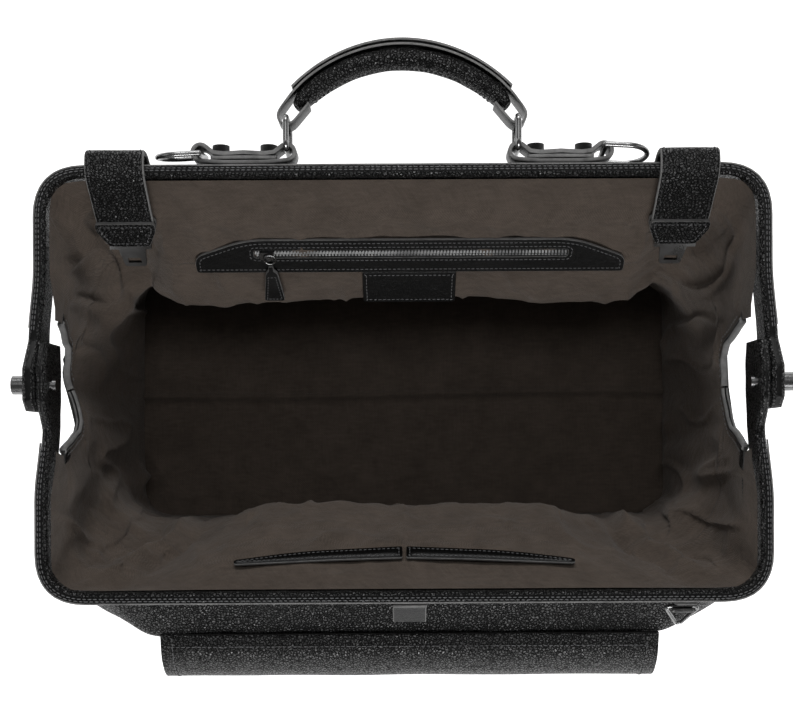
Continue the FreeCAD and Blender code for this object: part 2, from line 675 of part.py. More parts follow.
def make_handle():
    """The arched grip: a soft core in a sewn tube, with a flat strap whose ends loop the rings."""
    half_span, rise = size(LOOP_INSIDE), size("handle_rise")
    radius = (half_span**2 + rise**2) / (2 * rise)
    centre = Vector(0, size(GRIP_SEAT) + rise - radius, size(BAR_MIDDLE))
    axis = Vector(0, 0, 1)
    span = size("grip_span_angle")

    def tube(thick, width):
        ellipse = Part.Ellipse(Vector(0, 0, 0), width / 2, thick / 2)
        wire = Part.Wire(ellipse.toShape())
        wire.rotate(Vector(), Vector(0, 1, 0), 90)
        wire.translate(centre + Vector(0, radius, 0))
        wire.rotate(centre, axis, -span / 2)
        return Part.Face(wire).revolve(centre, axis, span)

    thick, width, skin = size("grip_thick"), size("grip_width"), size("grip_wall")
    inner = 2 * (skin + 0.1)
    core = tube(thick - inner, width - inner)
    hollow = tube(thick - 2 * skin, width - 2 * skin)
    soft("handle_core", core)
    soft("handle_cover", tube(thick, width).cut(hollow))

    layer, tab = size("strap_layer"), size("tab_width")
    low = radius + thick / 2 + size("seat_gap")
    high = low + layer
    reach = math.asin(half_span / (low + layer / 2))

    def rim(distance, angle):
        return centre + Vector(distance * math.sin(angle), distance * math.cos(angle), 0)

    arc_high = Part.Arc(rim(high, -reach), rim(high, 0), rim(high, reach)).toShape()
    arc_low = Part.Arc(rim(low, -reach), rim(low, 0), rim(low, reach)).toShape()
    ends = [
        Part.LineSegment(rim(low, angle), rim(high, angle)).toShape() for angle in (-reach, reach)
    ]
    face = Part.Face(Part.Wire(Part.__sortEdges__([arc_high, ends[1], arc_low, ends[0]])))
    strap = face.extrude(Vector(0, 0, tab))
    seat = size(GRIP_SEAT)
    top = rim(low + layer / 2, reach).y
    floor = size(BAR_MIDDLE) - tab / 2
    strap.translate(Vector(0, 0, -tab / 2))
    for sign in (-1, 1):
        drop = Part.makeBox(layer, top - seat, tab, Vector(sign * half_span - layer / 2, seat, floor))
        loop = Part.makeCylinder(size("loop_outer"), tab, Vector(sign * half_span, seat, floor))
        strap = strap.fuse(drop).fuse(loop)
    for sign in (-1, 1):
        strap = strap.cut(
            Part.makeCylinder(size("loop_inner"), tab + 2, Vector(sign * half_span, seat, floor - 1))
        )
    soft("handle_strap", strap.removeSplitter())


# ---------------------------------------------------------------- closing straps and catches


def make_closing_strap(side, sign):
    """A two-layer strap over the back bar: a stiff root on the jaw and a tail that hangs inside."""
    thick, mating = size("strap_thick"), size(MATING)
    face = size("jaw_reach") + size("seat_gap") + thick / 2
    pivot_y, pivot_z = size(STRAP_PIVOT_Y), size(STRAP_PIVOT_Z)
    crown = mating + size("strap_lift") + 1.0
    out = face + size("strap_standoff") - thick / 2
    path = [
        (face, size(UNDERSIDE) - 4), (face, mating - 10), (out, mating - 3), (out - 2.5, crown),
        (pivot_y + 5, crown), (pivot_y + thick / 2 + 0.4, pivot_z + 0.6),
    ]
    strip = bend(band(path, thick, size("strap_width") / 2, sign * size(STRAP_OFFSET)), 1.6)
    soft(f"strap_root_{side}", strip)

    tail = add_body(f"strap_tail_{side}")
    sketch = sketch_on(tail, "YZ_Plane")
    half, joint = "strap_thick / 2", "(strap_length - end_cover_length)"
    round_end = "(strap_thick / 2 - 0.05)"
    outline(
        sketch,
        [(f"-({joint} - 0.2)", f"-{half}"), (half, f"-{half}", round_end), (half, half, round_end),
         (f"-({joint} - 0.2)", half)],
    )
    pad(tail, sketch, "strap_width", symmetric=True)

    cover = add_body(f"strap_end_{side}")
    sketch = sketch_on(cover, "XY_Plane")
    outline(
        sketch,
        [("-end_cover_tip / 2", "-strap_length"), ("end_cover_tip / 2", "-strap_length"),
         ("strap_width / 2 + 1", f"-{joint} - 4"), ("strap_width / 2 + 1", f"-{joint}"),
         ("-strap_width / 2 - 1", f"-{joint}"), ("-strap_width / 2 - 1", f"-{joint} - 4")],
    )
    pad(cover, sketch, "end_cover_thick", symmetric=True)

    tongue = add_body(f"strap_tongue_{side}")
    sketch = sketch_on(tongue, "XY_Plane")
    rectangle(
        sketch, "-end_cover_tip / 2", "-strap_length - 3", "end_cover_tip / 2", "-strap_length - 0.2"
    )
    pad(tongue, sketch, "end_cover_thick - 1", symmetric=True)
    sketch = sketch_on(tongue, "XY_Plane")
    outline(
        sketch,
        [("-tongue_width / 2", "-strap_length - tongue_length"),
         ("tongue_width / 2", "-strap_length - tongue_length"),
         ("tongue_width / 2 + 2", "-strap_length - 2.5"), ("-tongue_width / 2 - 2", "-strap_length - 2.5")],
    )
    pad(tongue, sketch, "tongue_thick", symmetric=True)
    sketch = sketch_on(tongue, "XY_Plane")
    rectangle(
        sketch, "-tongue_slot_width / 2", "-strap_length - tongue_length + 3",
        "tongue_slot_width / 2", "-strap_length - tongue_length + 3 + tongue_slot_length",
    )
    cut(tongue, sketch)
    tip = -size("strap_length + tongue_length")
    round_edges(tongue, upright(lambda point: abs(point.y - tip) < 0.1), "2")
    for body in (tail, cover, tongue):
        place(body, plus(sign, STRAP_OFFSET), STRAP_PIVOT_Y, STRAP_PIVOT_Z, BACK_SLOPE)


def make_catch(side, sign):
    """The catch that takes a strap's tongue, tucked under the front bar, and its release button."""
    catch = add_body(f"catch_{side}")
    top = f"({UNDERSIDE} - layer_gap)"
    sketch = sketch_on(catch, "XZ_Plane")
    rectangle(sketch, "-catch_length / 2", f"{top} - catch_height", "catch_length / 2", top, "2")
    pad(catch, sketch, "catch_depth")
    sketch = sketch_on(catch, "XZ_Plane", "catch_depth / 2 - tongue_thick / 2 - catch_clearance")
    rectangle(
        sketch, "-tongue_width / 2 - catch_clearance", f"{top} - catch_height - 1",
        "tongue_width / 2 + catch_clearance", f"{top} - 2",
    )
    cut(catch, sketch, "tongue_thick + 2 * catch_clearance")
    sketch = sketch_on(catch, "XZ_Plane", "catch_depth / 2")
    circle(sketch, "0", f"{top} - catch_height / 2", "button_radius + button_clearance")
    cut(catch, sketch, "catch_depth / 2 + 1")
    place(catch, plus(sign, STRAP_OFFSET), "-(jaw_reach - catch_depth - 0.2)")

    button = primitive(
        "Part::Cylinder", f"button_{side}", plus(sign, STRAP_OFFSET),
        "-(jaw_reach - catch_depth / 2 - 0.2)",
        f"{top} - catch_height / 2", Rotation(Vector(1, 0, 0), 90),
        Radius="button_radius", Height="catch_depth / 2 + button_stroke",
    )
    button.Label = f"catch_button_{side}"
    parts.append(button)


# ---------------------------------------------------------------- leather shell and cloth lining


def shell_x(z):
    """How far out the leather end wall stands at a height: it spreads towards the jaws."""
    low = size("base_length / 2 - layer_gap")
    high = size(f"{HALF} - jaw_width - 0.5")
    floor, top = size(BOARD_FLOOR), size(UNDERSIDE)
    return low + (high - low) * (z - floor) / (top - floor)


def lining_x(z):
    """How far out the cloth end wall stands at a height, inside the leather one."""
    low = size("base_length / 2 - lining_side_inset")
    high = size(f"{FRONT_EAR_IN} - 0.4")
    floor, top = size(LINING_FLOOR), size(LINING_TOP)
    return low + (high - low) * (z - floor) / (top - floor)


def mirrored(path):
    """The same path on the other side of the bag's middle plane, run so that inside stays right."""
    return [(-x, y) for x, y in path[::-1]]


def notch():
    """The open notch under each hinge, seen from the end of the bag."""
    half, floor, top = size("notch_half"), size("notch_floor"), size("hinge_height + 20")
    rim = size(UNDERSIDE)
    corners = [
        Vector(0, -half, top), Vector(0, -half, rim), Vector(0, -0.7 * half, floor + 6),
        Vector(0, -0.5 * half, floor), Vector(0, 0.5 * half, floor), Vector(0, 0.7 * half, floor + 6),
        Vector(0, half, rim), Vector(0, half, top),
    ]
    reach = size("jaw_length")
    return prism(corners, -reach, reach, Vector(1, 0, 0))


def front_levels():
    """The front wall's level sections: height, reach, half of its flat middle, reach at its sides."""
    floor, top = size(BOARD_FLOOR), size(UNDERSIDE) - size("layer_gap")
    base_y = size("base_depth / 2") - size("layer_gap")
    half, line, high = size("flap_half"), size("flap_line_y"), size("flap_line_height")
    jaw, side = size("jaw_reach"), size(HALF)
    slack = size("wall_slack")
    return [
        (floor, base_y, size("base_length / 2") - slack, base_y - slack),
        (high / 2, line - 3.6 * slack, half + 0.6 * slack, line - 6 * slack),
        (high - 1.5 * slack, line - slack, half, line - 4 * slack),
        (high, line, half - 0.4 * slack, line - 3.4 * slack),
        (top - 1.8 * slack, jaw - slack, side - 3.6 * slack, jaw - 1.4 * slack),
        (top, jaw - slack, side - 3.4 * slack, jaw - 2.9 * slack),
    ]


def front_reach(z):
    """How far forward the front wall stands at a height."""
    levels = front_levels()
    for low, high in zip(levels, levels[1:]):
        if low[0] <= z <= high[0]:
            return low[1] + (high[1] - low[1]) * (z - low[0]) / (high[0] - low[0])
    raise RuntimeError(f"height {z} is outside the front wall")


def make_shell():
    """Front, back and end walls of leather, slack between the base and the open jaws."""
    skin, gap = size("leather"), size("layer_gap")
    floor, top = size(BOARD_FLOOR), size(UNDERSIDE) - gap
    base_y = size("base_depth / 2") - gap
    jaw_y = size("jaw_reach")
    flap_y, flap_z = size("flap_line_y"), size("flap_line_height")

    back = [(floor, base_y, 8), (75, base_y - 6, 12), (105, base_y + 12, 18), (top, jaw_y - 2, 24)]
    stations = []
    for z, y, corner in back:
        x = shell_x(z) - skin - gap
        stations.append((z, [(-x, y - corner), (-x + corner, y), (x - corner, y), (x, y - corner)]))
    soft("back_panel", wall(stations, skin))

    front = front_levels()
    shift = size("flap_shift") / 2
    stations = []
    for z, y, middle, corner_y in front:
        x = shell_x(z) - skin - gap
        path = [(x, -corner_y), (middle + shift, -y), (-middle + shift, -y), (-x, -corner_y)]
        stations.append((z, path))
    soft("front_panel", wall(stations, skin))

    opening = notch()
    for side, sign in (("right", 1), ("left", -1)):
        for name, rows in (
            ("back", [(z, 0.2, y - corner) for z, y, corner in back]),
            ("front", [(z, -corner_y, -0.2) for z, _, _, corner_y in front]),
        ):
            stations = []
            for z, y_low, y_high in rows:
                trim = skin + gap
                y_high = y_high - trim if name == "back" else y_high
                y_low = y_low + trim if name == "front" else y_low
                path = [(shell_x(z), y_high), (shell_x(z), y_low)]
                stations.append((z, path if sign > 0 else mirrored(path)))
            soft(f"gusset_{side}_{name}", wall(stations, skin).cut(opening))


def make_lining():
    """The cloth walls inside: both long walls fold inward below the jaws."""
    cloth, gap = size("cloth"), size("layer_gap")
    floor, top = size(LINING_FLOOR), size(LINING_TOP)
    edge_y, foot_y = size(LINING_EDGE), size("base_depth / 2 - lining_foot_inset")
    opening = notch()
    folds = {
        "back": (size("lining_fold_y"), size("lining_fold_height"), size(BACK_SLOPE)),
        "front": (size("front_fold_y"), size("front_fold_height"), -size(FRONT_SLOPE)),
    }
    for name, (fold_y, fold_z, slope) in folds.items():
        across = cloth / math.sin(math.radians(slope))
        rows = [(floor, foot_y, 8), (fold_z, fold_y, 10), (top, edge_y, 11)]
        stations = []
        for z, inner_y, corner in rows:
            x, y = lining_x(z) - cloth - gap, inner_y + across
            path = [(-x, y - corner), (-x + corner, y), (x - corner, y), (x, y - corner)]
            if name == "front":
                path = [(px, -py) for px, py in path[::-1]]
            stations.append((z, path))
        soft(f"lining_{name}", wall(stations, across))
        for side, sign in (("right", 1), ("left", -1)):
            stations = []
            for z, inner_y, corner in rows:
                reach = inner_y + across - corner - across - gap
                path = [(lining_x(z), reach), (lining_x(z), 0.2)]
                if name == "front":
                    path = [(px, -py) for px, py in path[::-1]]
                stations.append((z, path if sign > 0 else mirrored(path)))
            soft(f"lining_{side}_{name}", wall(stations, cloth).cut(opening))


# ---------------------------------------------------------------- zip pocket on the back lining


def on_back_wall(body, height="0"):
    """Places a piece whose sketch plane lies on the back lining, its y pointing up the slope."""
    slope = size(BACK_SLOPE)
    place(body, "0", LINING_EDGE, LINING_TOP, BACK_SLOPE)
    return slope


def make_zip_pocket():
    """Leather facing with a long slot, the tape and teeth in it, slider, pull and a bare patch."""
    start, end = "facing_start", "(facing_start + facing_height)"
    facing = add_body("zip_facing")
    sketch = sketch_on(facing, "XY_Plane", "layer_gap")
    outline(
        sketch,
        [("-facing_half_left", f"-{end}", "2"), ("facing_half_right", f"-{end}", "2"),
         ("facing_half_right", f"-{start} - facing_height / 2"),
         ("facing_half_right - facing_slant", f"-{start}"),
         ("-facing_half_left + facing_slant", f"-{start}"),
         ("-facing_half_left", f"-{start} - facing_height / 2")],
    )
    pad(facing, sketch, "facing_thick")
    ends_y = -size(start) - size("facing_height") / 2
    round_edges(facing, upright(lambda point: abs(point.y - ends_y) < 0.1), "facing_round")
    slot_high, slot_low = f"-{start} - slot_start", f"-{start} - slot_start - slot_height"
    sketch = sketch_on(facing, "XY_Plane")
    rectangle(sketch, "-slot_left", slot_low, "slot_right", slot_high)
    cut(facing, sketch)

    tape = add_body("zip_tape")
    sketch = sketch_on(tape, "XY_Plane", "layer_gap")
    rectangle(sketch, "-slot_left + 0.2", f"{slot_low} + 0.2", "slot_right - 0.2", f"{slot_high} - 0.2")
    pad(tape, sketch, "tape_thick")

    centre = f"(-{start} - slot_start - slot_height / 2)"
    teeth = []
    count = int(size("(slot_left + slot_right - 6) / tooth_pitch"))
    for number in range(count):
        x = f"-slot_left + 3 + {number} * tooth_pitch"
        teeth.append(
            primitive(
                "Part::Box", f"tooth_{number + 1}", x, f"{centre} - slot_height / 2 + 1.2",
                "layer_gap + tape_thick", Length="tooth_size", Width="slot_height - 2.4",
                Height="tooth_height",
            )
        )
    row = group("zip_teeth", teeth)

    above = "(layer_gap + tape_thick + tooth_height + 0.2)"
    slider = add_body("zip_slider")
    sketch = sketch_on(slider, "XY_Plane", above)
    rectangle(
        sketch, "-slider_rest - slider_length / 2", f"{centre} - slider_width / 2",
        "-slider_rest + slider_length / 2", f"{centre} + slider_width / 2", "1.5",
    )
    pad(slider, sketch, "slider_height - 1")
    sketch = sketch_on(slider, "XY_Plane", f"{above} + slider_height - 1")
    bail_x = "(-slider_rest + slider_length / 2 - 1.6 - bail_length / 2)"
    rectangle(
        sketch, f"{bail_x} - bail_length / 2", f"{centre} - bail_width / 2",
        f"{bail_x} + bail_length / 2", f"{centre} + bail_width / 2",
    )
    pad(slider, sketch, "bail_height")

    lift = f"({above} + slider_height + 0.4)"
    ring_y = f"({centre} - pull_ring_radius + pull_wire / 2 + bail_width / 2 + seat_gap)"
    ring = primitive(
        "Part::Torus", "pull_ring", Radius1="pull_ring_radius", Radius2="pull_wire / 2",
    )
    ring.Label = "zip_pull_ring"
    parts.append(ring)

    pull = add_body("zip_pull")
    sketch = sketch_on(pull, "XY_Plane", f"{lift} - pull_thick / 2")
    bore_y = f"({ring_y} - pull_ring_radius)"
    top, shoulder = f"({bore_y} + 1.9)", f"({bore_y} - 2.2)"
    outline(
        sketch,
        [(f"{bail_x} - pull_width / 2", f"{top} - pull_length"),
         (f"{bail_x} + pull_width / 2", f"{top} - pull_length"),
         (f"{bail_x} + pull_width / 2 - 3", f"{shoulder} - 2"), (f"{bail_x} + pull_neck / 2", shoulder),
         (f"{bail_x} + pull_neck / 2", top), (f"{bail_x} - pull_neck / 2", top),
         (f"{bail_x} - pull_neck / 2", shoulder), (f"{bail_x} - pull_width / 2 + 3", f"{shoulder} - 2")],
    )
    pad(pull, sketch, "pull_thick")
    foot_y = size(f"{top} - pull_length")
    round_edges(pull, upright(lambda point: abs(point.y - foot_y) < 0.1), "2")
    sketch = sketch_on(pull, "YZ_Plane")
    circle(sketch, bore_y, lift, "pull_bore")
    cut(pull, sketch)
    patch = add_body("blank_patch")
    sketch = sketch_on(patch, "XY_Plane", "layer_gap")
    x = "patch_shift"
    rectangle(
        sketch, f"{x} - patch_width / 2", f"-{end} - patch_height - layer_gap",
        f"{x} + patch_width / 2", f"-{end} - layer_gap", "1.5",
    )
    pad(patch, sketch, "facing_thick")
    bag = add_body("zip_pocket_bag")
    sketch = sketch_on(bag, "XY_Plane", "-(3 * cloth + layer_gap)")
    rectangle(
        sketch, "-slot_left - 10", f"-{start} - pocket_bag_depth", "slot_right + 10", f"-{start} - 2", "4",
    )
    pad(bag, sketch, "2 * cloth")
    for body in (facing, tape, row, slider, pull, patch, bag):
        on_back_wall(body)
    slope = math.radians(size(BACK_SLOPE))
    drop, rise = size(ring_y), size(lift)
    ring.Placement = Placement(Vector(), Rotation(Vector(1, 0, 0), size(BACK_SLOPE)))
    place(
        ring, bail_x, f"{LINING_EDGE} + {drop * math.cos(slope) - rise * math.sin(slope)}",
        f"{LINING_TOP} + {drop * math.sin(slope) + rise * math.cos(slope)}",
    )


def make_slip_pockets():
    """Two open pockets on the front lining: a leather welt along each mouth and cloth behind."""
    low, high = "welt_start", "(welt_start + welt_height)"
    welts = []
    for side, sign in (("left", -1), ("right", 1)):
        welt = add_body(f"slip_welt_{side}")
        welts.append(parts.pop())
        sketch = sketch_on(welt, "XY_Plane", "layer_gap")
        near, far = plus(sign, "welt_seam / 2"), plus(sign, "welt_half")
        outline(
            sketch,
            [(near, low), (far, f"{low} - 5"), (far, f"{low} + 2"), (plus(sign, "welt_half / 2"), high),
             (near, high)],
        )
        pad(welt, sketch, "welt_thick")
        place(welt, "0", f"-{LINING_EDGE}", LINING_TOP, FRONT_SLOPE)
    group("slip_welts", welts)
    bag = add_body("slip_pocket_bag")
    sketch = sketch_on(bag, "XY_Plane", "-(2 * cloth + layer_gap)")
    rectangle(sketch, "-welt_half", low, "welt_half", f"{low} + slip_bag_depth", "4")
    pad(bag, sketch, "cloth")
    place(bag, "0", f"-{LINING_EDGE}", LINING_TOP, FRONT_SLOPE)


# ---------------------------------------------------------------- front pocket and small tabs


def make_front_pocket():
    """The stand-out pocket on the front wall, its long flap and the magnetic snap between them."""
    flap_y, flap_z, skin = size("flap_line_y"), size("flap_line_height"), size("leather")
    bulge, half, shift = size("pocket_bulge"), size("flap_half - 2"), size("flap_shift")
    crown, drop = size("flap_crown"), size("flap_drop")
    clear = size("seat_gap") + 0.4
    floor, middle, mouth = size("pocket_floor"), flap_z / 2, flap_z - 9
    rows = [
        (floor - 8, 5), (floor, 22), (middle, bulge - 2 - front_reach(middle)),
        (mouth - 18, bulge - 2 - front_reach(mouth - 18)), (mouth, bulge - 14 - front_reach(mouth)),
    ]
    rows = [(z, front_reach(z) + clear, front_reach(z) + depth) for z, depth in rows]
    stations = []
    for z, wall_y, front_y in rows:
        stations.append(
            (z, [(half + shift, -wall_y), (half + shift, -front_y), (-half + shift, -front_y),
                 (-half + shift, -wall_y)])
        )
    soft("front_pocket", wall(stations, skin))

    lid = [
        (-flap_y - 1.0, flap_z + 2.0), (-flap_y - 0.8 * crown, flap_z - 1), (-bulge - 1, flap_z - crown),
        (-bulge - 4.5, flap_z - drop / 2), (-bulge - 5, flap_z - drop),
    ]
    strip = bend(band(lid, skin + 0.2, size("flap_half"), shift), 4.0)
    soft("pocket_flap", strip)
    backward = Rotation(Vector(1, 0, 0), 90)
    for label, y in (
        ("snap_base", "-(pocket_bulge - 2 + seat_gap)"),
        ("snap_cap", "-(pocket_bulge - 2 + 2 * seat_gap + snap_thick)"),
    ):
        snap = primitive(
            "Part::Cylinder", label, "flap_shift", y, "flap_line_height - 44", backward,
            Radius="snap_radius", Height="snap_thick",
        )
        snap.Label = label
        parts.append(snap)


def wire_triangle(half, reach, corner, wire):
    """A closed wire link with three round corners: its straight bar lies on the X axis."""
    tips = [Vector(-half, 0, 0), Vector(half, 0, 0), Vector(0, reach, 0)]
    edges, ends = [], []
    for index, tip in enumerate(tips):
        before = (tips[index - 1] - tip).normalize()
        after = (tips[(index + 1) % 3] - tip).normalize()
        angle = before.getAngle(after)
        run = corner / math.tan(angle / 2)
        bow = tip + (before + after).normalize() * (corner / math.sin(angle / 2) - corner)
        start, end = tip + before * run, tip + after * run
        edges.append(Part.Arc(start, bow, end).toShape())
        ends.append((start, end))
    for index in range(3):
        edges.append(Part.LineSegment(ends[index][1], ends[(index + 1) % 3][0]).toShape())
    path = Part.Wire(Part.__sortEdges__(edges))
    start = path.Edges[0].valueAt(path.Edges[0].FirstParameter)
    along = path.Edges[0].tangentAt(path.Edges[0].FirstParameter)
    profile = Part.Wire(Part.Circle(start, along, wire).toShape())
    return path.makePipeShell([profile], True, True)


def make_front_tabs():
    """A bare leather tab at the middle of the front jaw, and a small link in a tab at its right end."""
    face, mating = -size("jaw_reach") - size("seat_gap"), size(MATING)
    thick = size("leather")
    low = size(UNDERSIDE)
    path = [
        (face - thick / 2, mating - 3), (face - thick / 2, low + 2), (face - 14, low - 13),
    ]
    soft("front_tab", bend(band(path, thick, size("front_tab_width") / 2, 3.0), 1.5))
    x = size("side_ring_place")
    loop_y, loop_z = face - size("loop_outer") / 2 - 1.0, low + 4
    outer, inner = size("loop_outer") / 2 + 1, size("side_ring_wire") / 2 + 0.6
    plate = Part.makeBox(12, thick, mating - 4 - loop_z, Vector(x - 6, face - thick, loop_z))
    loop = Part.makeCylinder(outer, 12, Vector(x - 6, loop_y, loop_z), Vector(1, 0, 0))
    hole = Part.makeCylinder(inner, 14, Vector(x - 7, loop_y, loop_z), Vector(1, 0, 0))
    guard = Part.makeBox(14, 20, 40, Vector(x - 7, face, loop_z - 20))
    soft("side_ring_tab", plate.fuse(loop).cut(hole).cut(guard).removeSplitter())

    wire, reach, half = size("side_ring_wire") / 2, size("side_ring_size"), size("side_ring_size") * 0.55
    soft("side_ring", wire_triangle(half, reach, 2 * wire, wire))
    ring = parts[-1]
    lean = Rotation(Vector(1, 0, 0), -135)
    ring.Placement = Placement(Vector(x, loop_y, loop_z), lean)


# ---------------------------------------------------------------- build


make_base()
make_shell()
make_lining()
_, back_bar = make_jaw("back", 1, BACK_EAR_IN, BACK_EAR_OUT, "arm_end_back", "pin_clearance")
make_jaw("front", -1, FRONT_EAR_IN, FRONT_EAR_OUT, "arm_end_front", "pin_clearance")
for name in ("back_jaw_cover", "back_jaw_bar"):
    bolt_holes(doc.getObject(name))
make_pins()
for side, sign in (("left", -1), ("right", 1)):
    make_tab(side, sign)
    make_closing_strap(side, sign)
    make_catch(side, sign)
make_bolts()
make_rings()
make_handle()
make_zip_pocket()
make_slip_pockets()
make_front_pocket()
make_front_tabs()
doc.recompute()

for item in doc.Objects:
    if "Invalid" in item.State or "Error" in item.State:
        raise RuntimeError(f"{item.Label} did not build: {item.State}")
for piece in parts:
    if piece.Shape.isNull() or not piece.Shape.isValid() or not piece.Shape.Solids:
        raise RuntimeError(f"{piece.Label} has no valid solid")
for piece in parts:
    piece.Shape.exportStep(f"parts/{piece.Label}.step")
print(len(parts), "pieces written")
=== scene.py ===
# %% Doctor bag, standing wide open
# %% [markdown]
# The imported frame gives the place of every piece. This lesson dresses it: pebbled leather over the
# steel jaws, slack leather walls, a cotton lining with folds, straps, handle, zip and stitching.
# Sizes are in millimetres and become metres when a mesh is made.
import json
import math

import bpy
import numpy as np
from mathutils import Matrix, Vector, noise

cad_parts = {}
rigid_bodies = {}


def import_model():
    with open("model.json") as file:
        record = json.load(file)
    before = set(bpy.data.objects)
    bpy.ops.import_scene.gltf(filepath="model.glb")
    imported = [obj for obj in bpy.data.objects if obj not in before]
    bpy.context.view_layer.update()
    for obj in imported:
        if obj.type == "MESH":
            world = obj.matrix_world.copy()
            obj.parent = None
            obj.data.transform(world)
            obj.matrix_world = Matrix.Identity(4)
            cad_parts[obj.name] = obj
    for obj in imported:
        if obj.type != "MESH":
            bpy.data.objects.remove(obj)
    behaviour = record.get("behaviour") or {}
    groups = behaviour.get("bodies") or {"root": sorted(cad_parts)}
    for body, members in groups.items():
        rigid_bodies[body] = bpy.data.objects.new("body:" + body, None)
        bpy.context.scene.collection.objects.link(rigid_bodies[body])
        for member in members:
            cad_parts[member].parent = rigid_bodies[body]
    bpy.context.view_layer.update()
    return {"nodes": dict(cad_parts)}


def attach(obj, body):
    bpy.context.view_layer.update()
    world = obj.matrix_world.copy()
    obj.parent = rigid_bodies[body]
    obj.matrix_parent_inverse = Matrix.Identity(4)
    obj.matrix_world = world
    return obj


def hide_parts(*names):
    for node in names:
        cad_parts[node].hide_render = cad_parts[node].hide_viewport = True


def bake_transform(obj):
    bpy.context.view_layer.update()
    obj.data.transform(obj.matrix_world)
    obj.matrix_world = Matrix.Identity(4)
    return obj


for item in list(bpy.data.objects):
    bpy.data.objects.remove(item)
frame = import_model()
nodes = frame["nodes"]
MM = 0.001

# %% Camera
# %% [markdown]
# A camera 65 cm over the jaws looks straight down from a little in front of the bag's middle. Its frame
# is shifted up, so that the handle and the flap both fit without a tilt.
camera_data = bpy.data.cameras.new("camera")
camera = bpy.data.objects.new("camera", camera_data)
bpy.context.collection.objects.link(camera)
camera.location = (0.0, -0.039, 0.815)
camera.rotation_euler = (0.0, 0.0, math.radians(-0.3))
camera_data.sensor_width = 36.0
camera_data.lens = 51.3
camera_data.shift_x, camera_data.shift_y = -0.0092, 0.118
camera_data.clip_start, camera_data.clip_end = 0.01, 20.0
scene = bpy.context.scene
scene.camera = camera
scene.render.resolution_x, scene.render.resolution_y = 793, 715
scene.view_settings.view_transform = "Standard"
scene.view_settings.look = "None"

# %% Floor and light
# %% [markdown]
# A pale sweep takes the soft shadow. A wide lamp hangs over the bag, a second one stands to the
# front and two long ones at the sides draw highlights along the leather.


def add_lamp(name, place, aim, energy, width, depth):
    """A rectangular lamp that points at a spot."""
    data = bpy.data.lights.new(name, "AREA")
    data.shape = "RECTANGLE"
    data.size, data.size_y, data.energy = width, depth, energy
    lamp = bpy.data.objects.new(name, data)
    bpy.context.collection.objects.link(lamp)
    lamp.location = place
    direction = Vector(aim) - Vector(place)
    lamp.rotation_euler = direction.to_track_quat("-Z", "Y").to_euler()
    return lamp


add_lamp("over", (0.0, 0.5, 1.6), (0.0, 0.0, 0.1), 4.0, 1.3, 0.6)
add_lamp("front", (0.1, -1.5, 0.95), (0.0, 0.0, 0.12), 22.0, 1.2, 0.35)
add_lamp("left", (-1.5, 0.2, 0.8), (0.0, 0.0, 0.15), 2.5, 0.5, 1.2)
add_lamp("right", (1.5, 0.2, 0.8), (0.0, 0.0, 0.15), 2.5, 0.5, 1.2)
add_lamp("back", (0.0, 1.5, 0.95), (0.0, 0.1, 0.15), 17.0, 1.3, 0.35)

world = bpy.data.worlds.new("world")
scene.world = world
world.use_nodes = True
world_nodes, world_links = world.node_tree.nodes, world.node_tree.links
background = world_nodes["Background"]
background.inputs["Color"].default_value = (1.0, 1.0, 1.0, 1.0)
rays = world_nodes.new("ShaderNodeLightPath")
level = background.inputs["Strength"]
for ray, strength in (("Is Glossy Ray", 0.12), ("Is Transmission Ray", 1.0), ("Is Camera Ray", 1.0)):
    mix = world_nodes.new("ShaderNodeMix")
    mix.inputs["A"].default_value, mix.inputs["B"].default_value = 0.07, strength
    world_links.new(rays.outputs[ray], mix.inputs["Factor"])
    world_links.new(mix.outputs["Result"], level)
    level = mix.inputs["A"]

# %% Shader maths
# %% [markdown]
# Each socket of a node tree is wrapped so that Python's own operators build the maths nodes.


class Socket:
    """A value in a shader: + - * / and the named functions below make the nodes."""

    def __init__(self, tree, socket):
        self.tree, self.socket = tree, socket

    def _math(self, operation, *others, clamp=False):
        return self.tree.node(
            "ShaderNodeMath", 0, {"operation": operation, "use_clamp": clamp}, [self, *others]
        )

    def __add__(self, other):
        return self._math("ADD", other)

    def __radd__(self, other):
        return self._math("ADD", other)

    def __sub__(self, other):
        return self._math("SUBTRACT", other)

    def __rsub__(self, other):
        return self.tree.node("ShaderNodeMath", 0, {"operation": "SUBTRACT"}, [other, self])

    def __mul__(self, other):
        return self._math("MULTIPLY", other)

    def __rmul__(self, other):
        return self._math("MULTIPLY", other)

    def __truediv__(self, other):
        return self._math("DIVIDE", other)

    def power(self, other):
        return self._math("POWER", other)

    def sine(self):
        return self._math("SINE")

    def clamp(self):
        return self._math("ADD", 0.0, clamp=True)

    def maximum(self, other):
        return self._math("MAXIMUM", other)

    def step(self, low, high):
        """0 under low, 1 over high, smooth between."""
        return self.tree.node(
            "ShaderNodeMapRange", 0, {"interpolation_type": "SMOOTHSTEP"}, [self, low, high, 0.0, 1.0]
        )


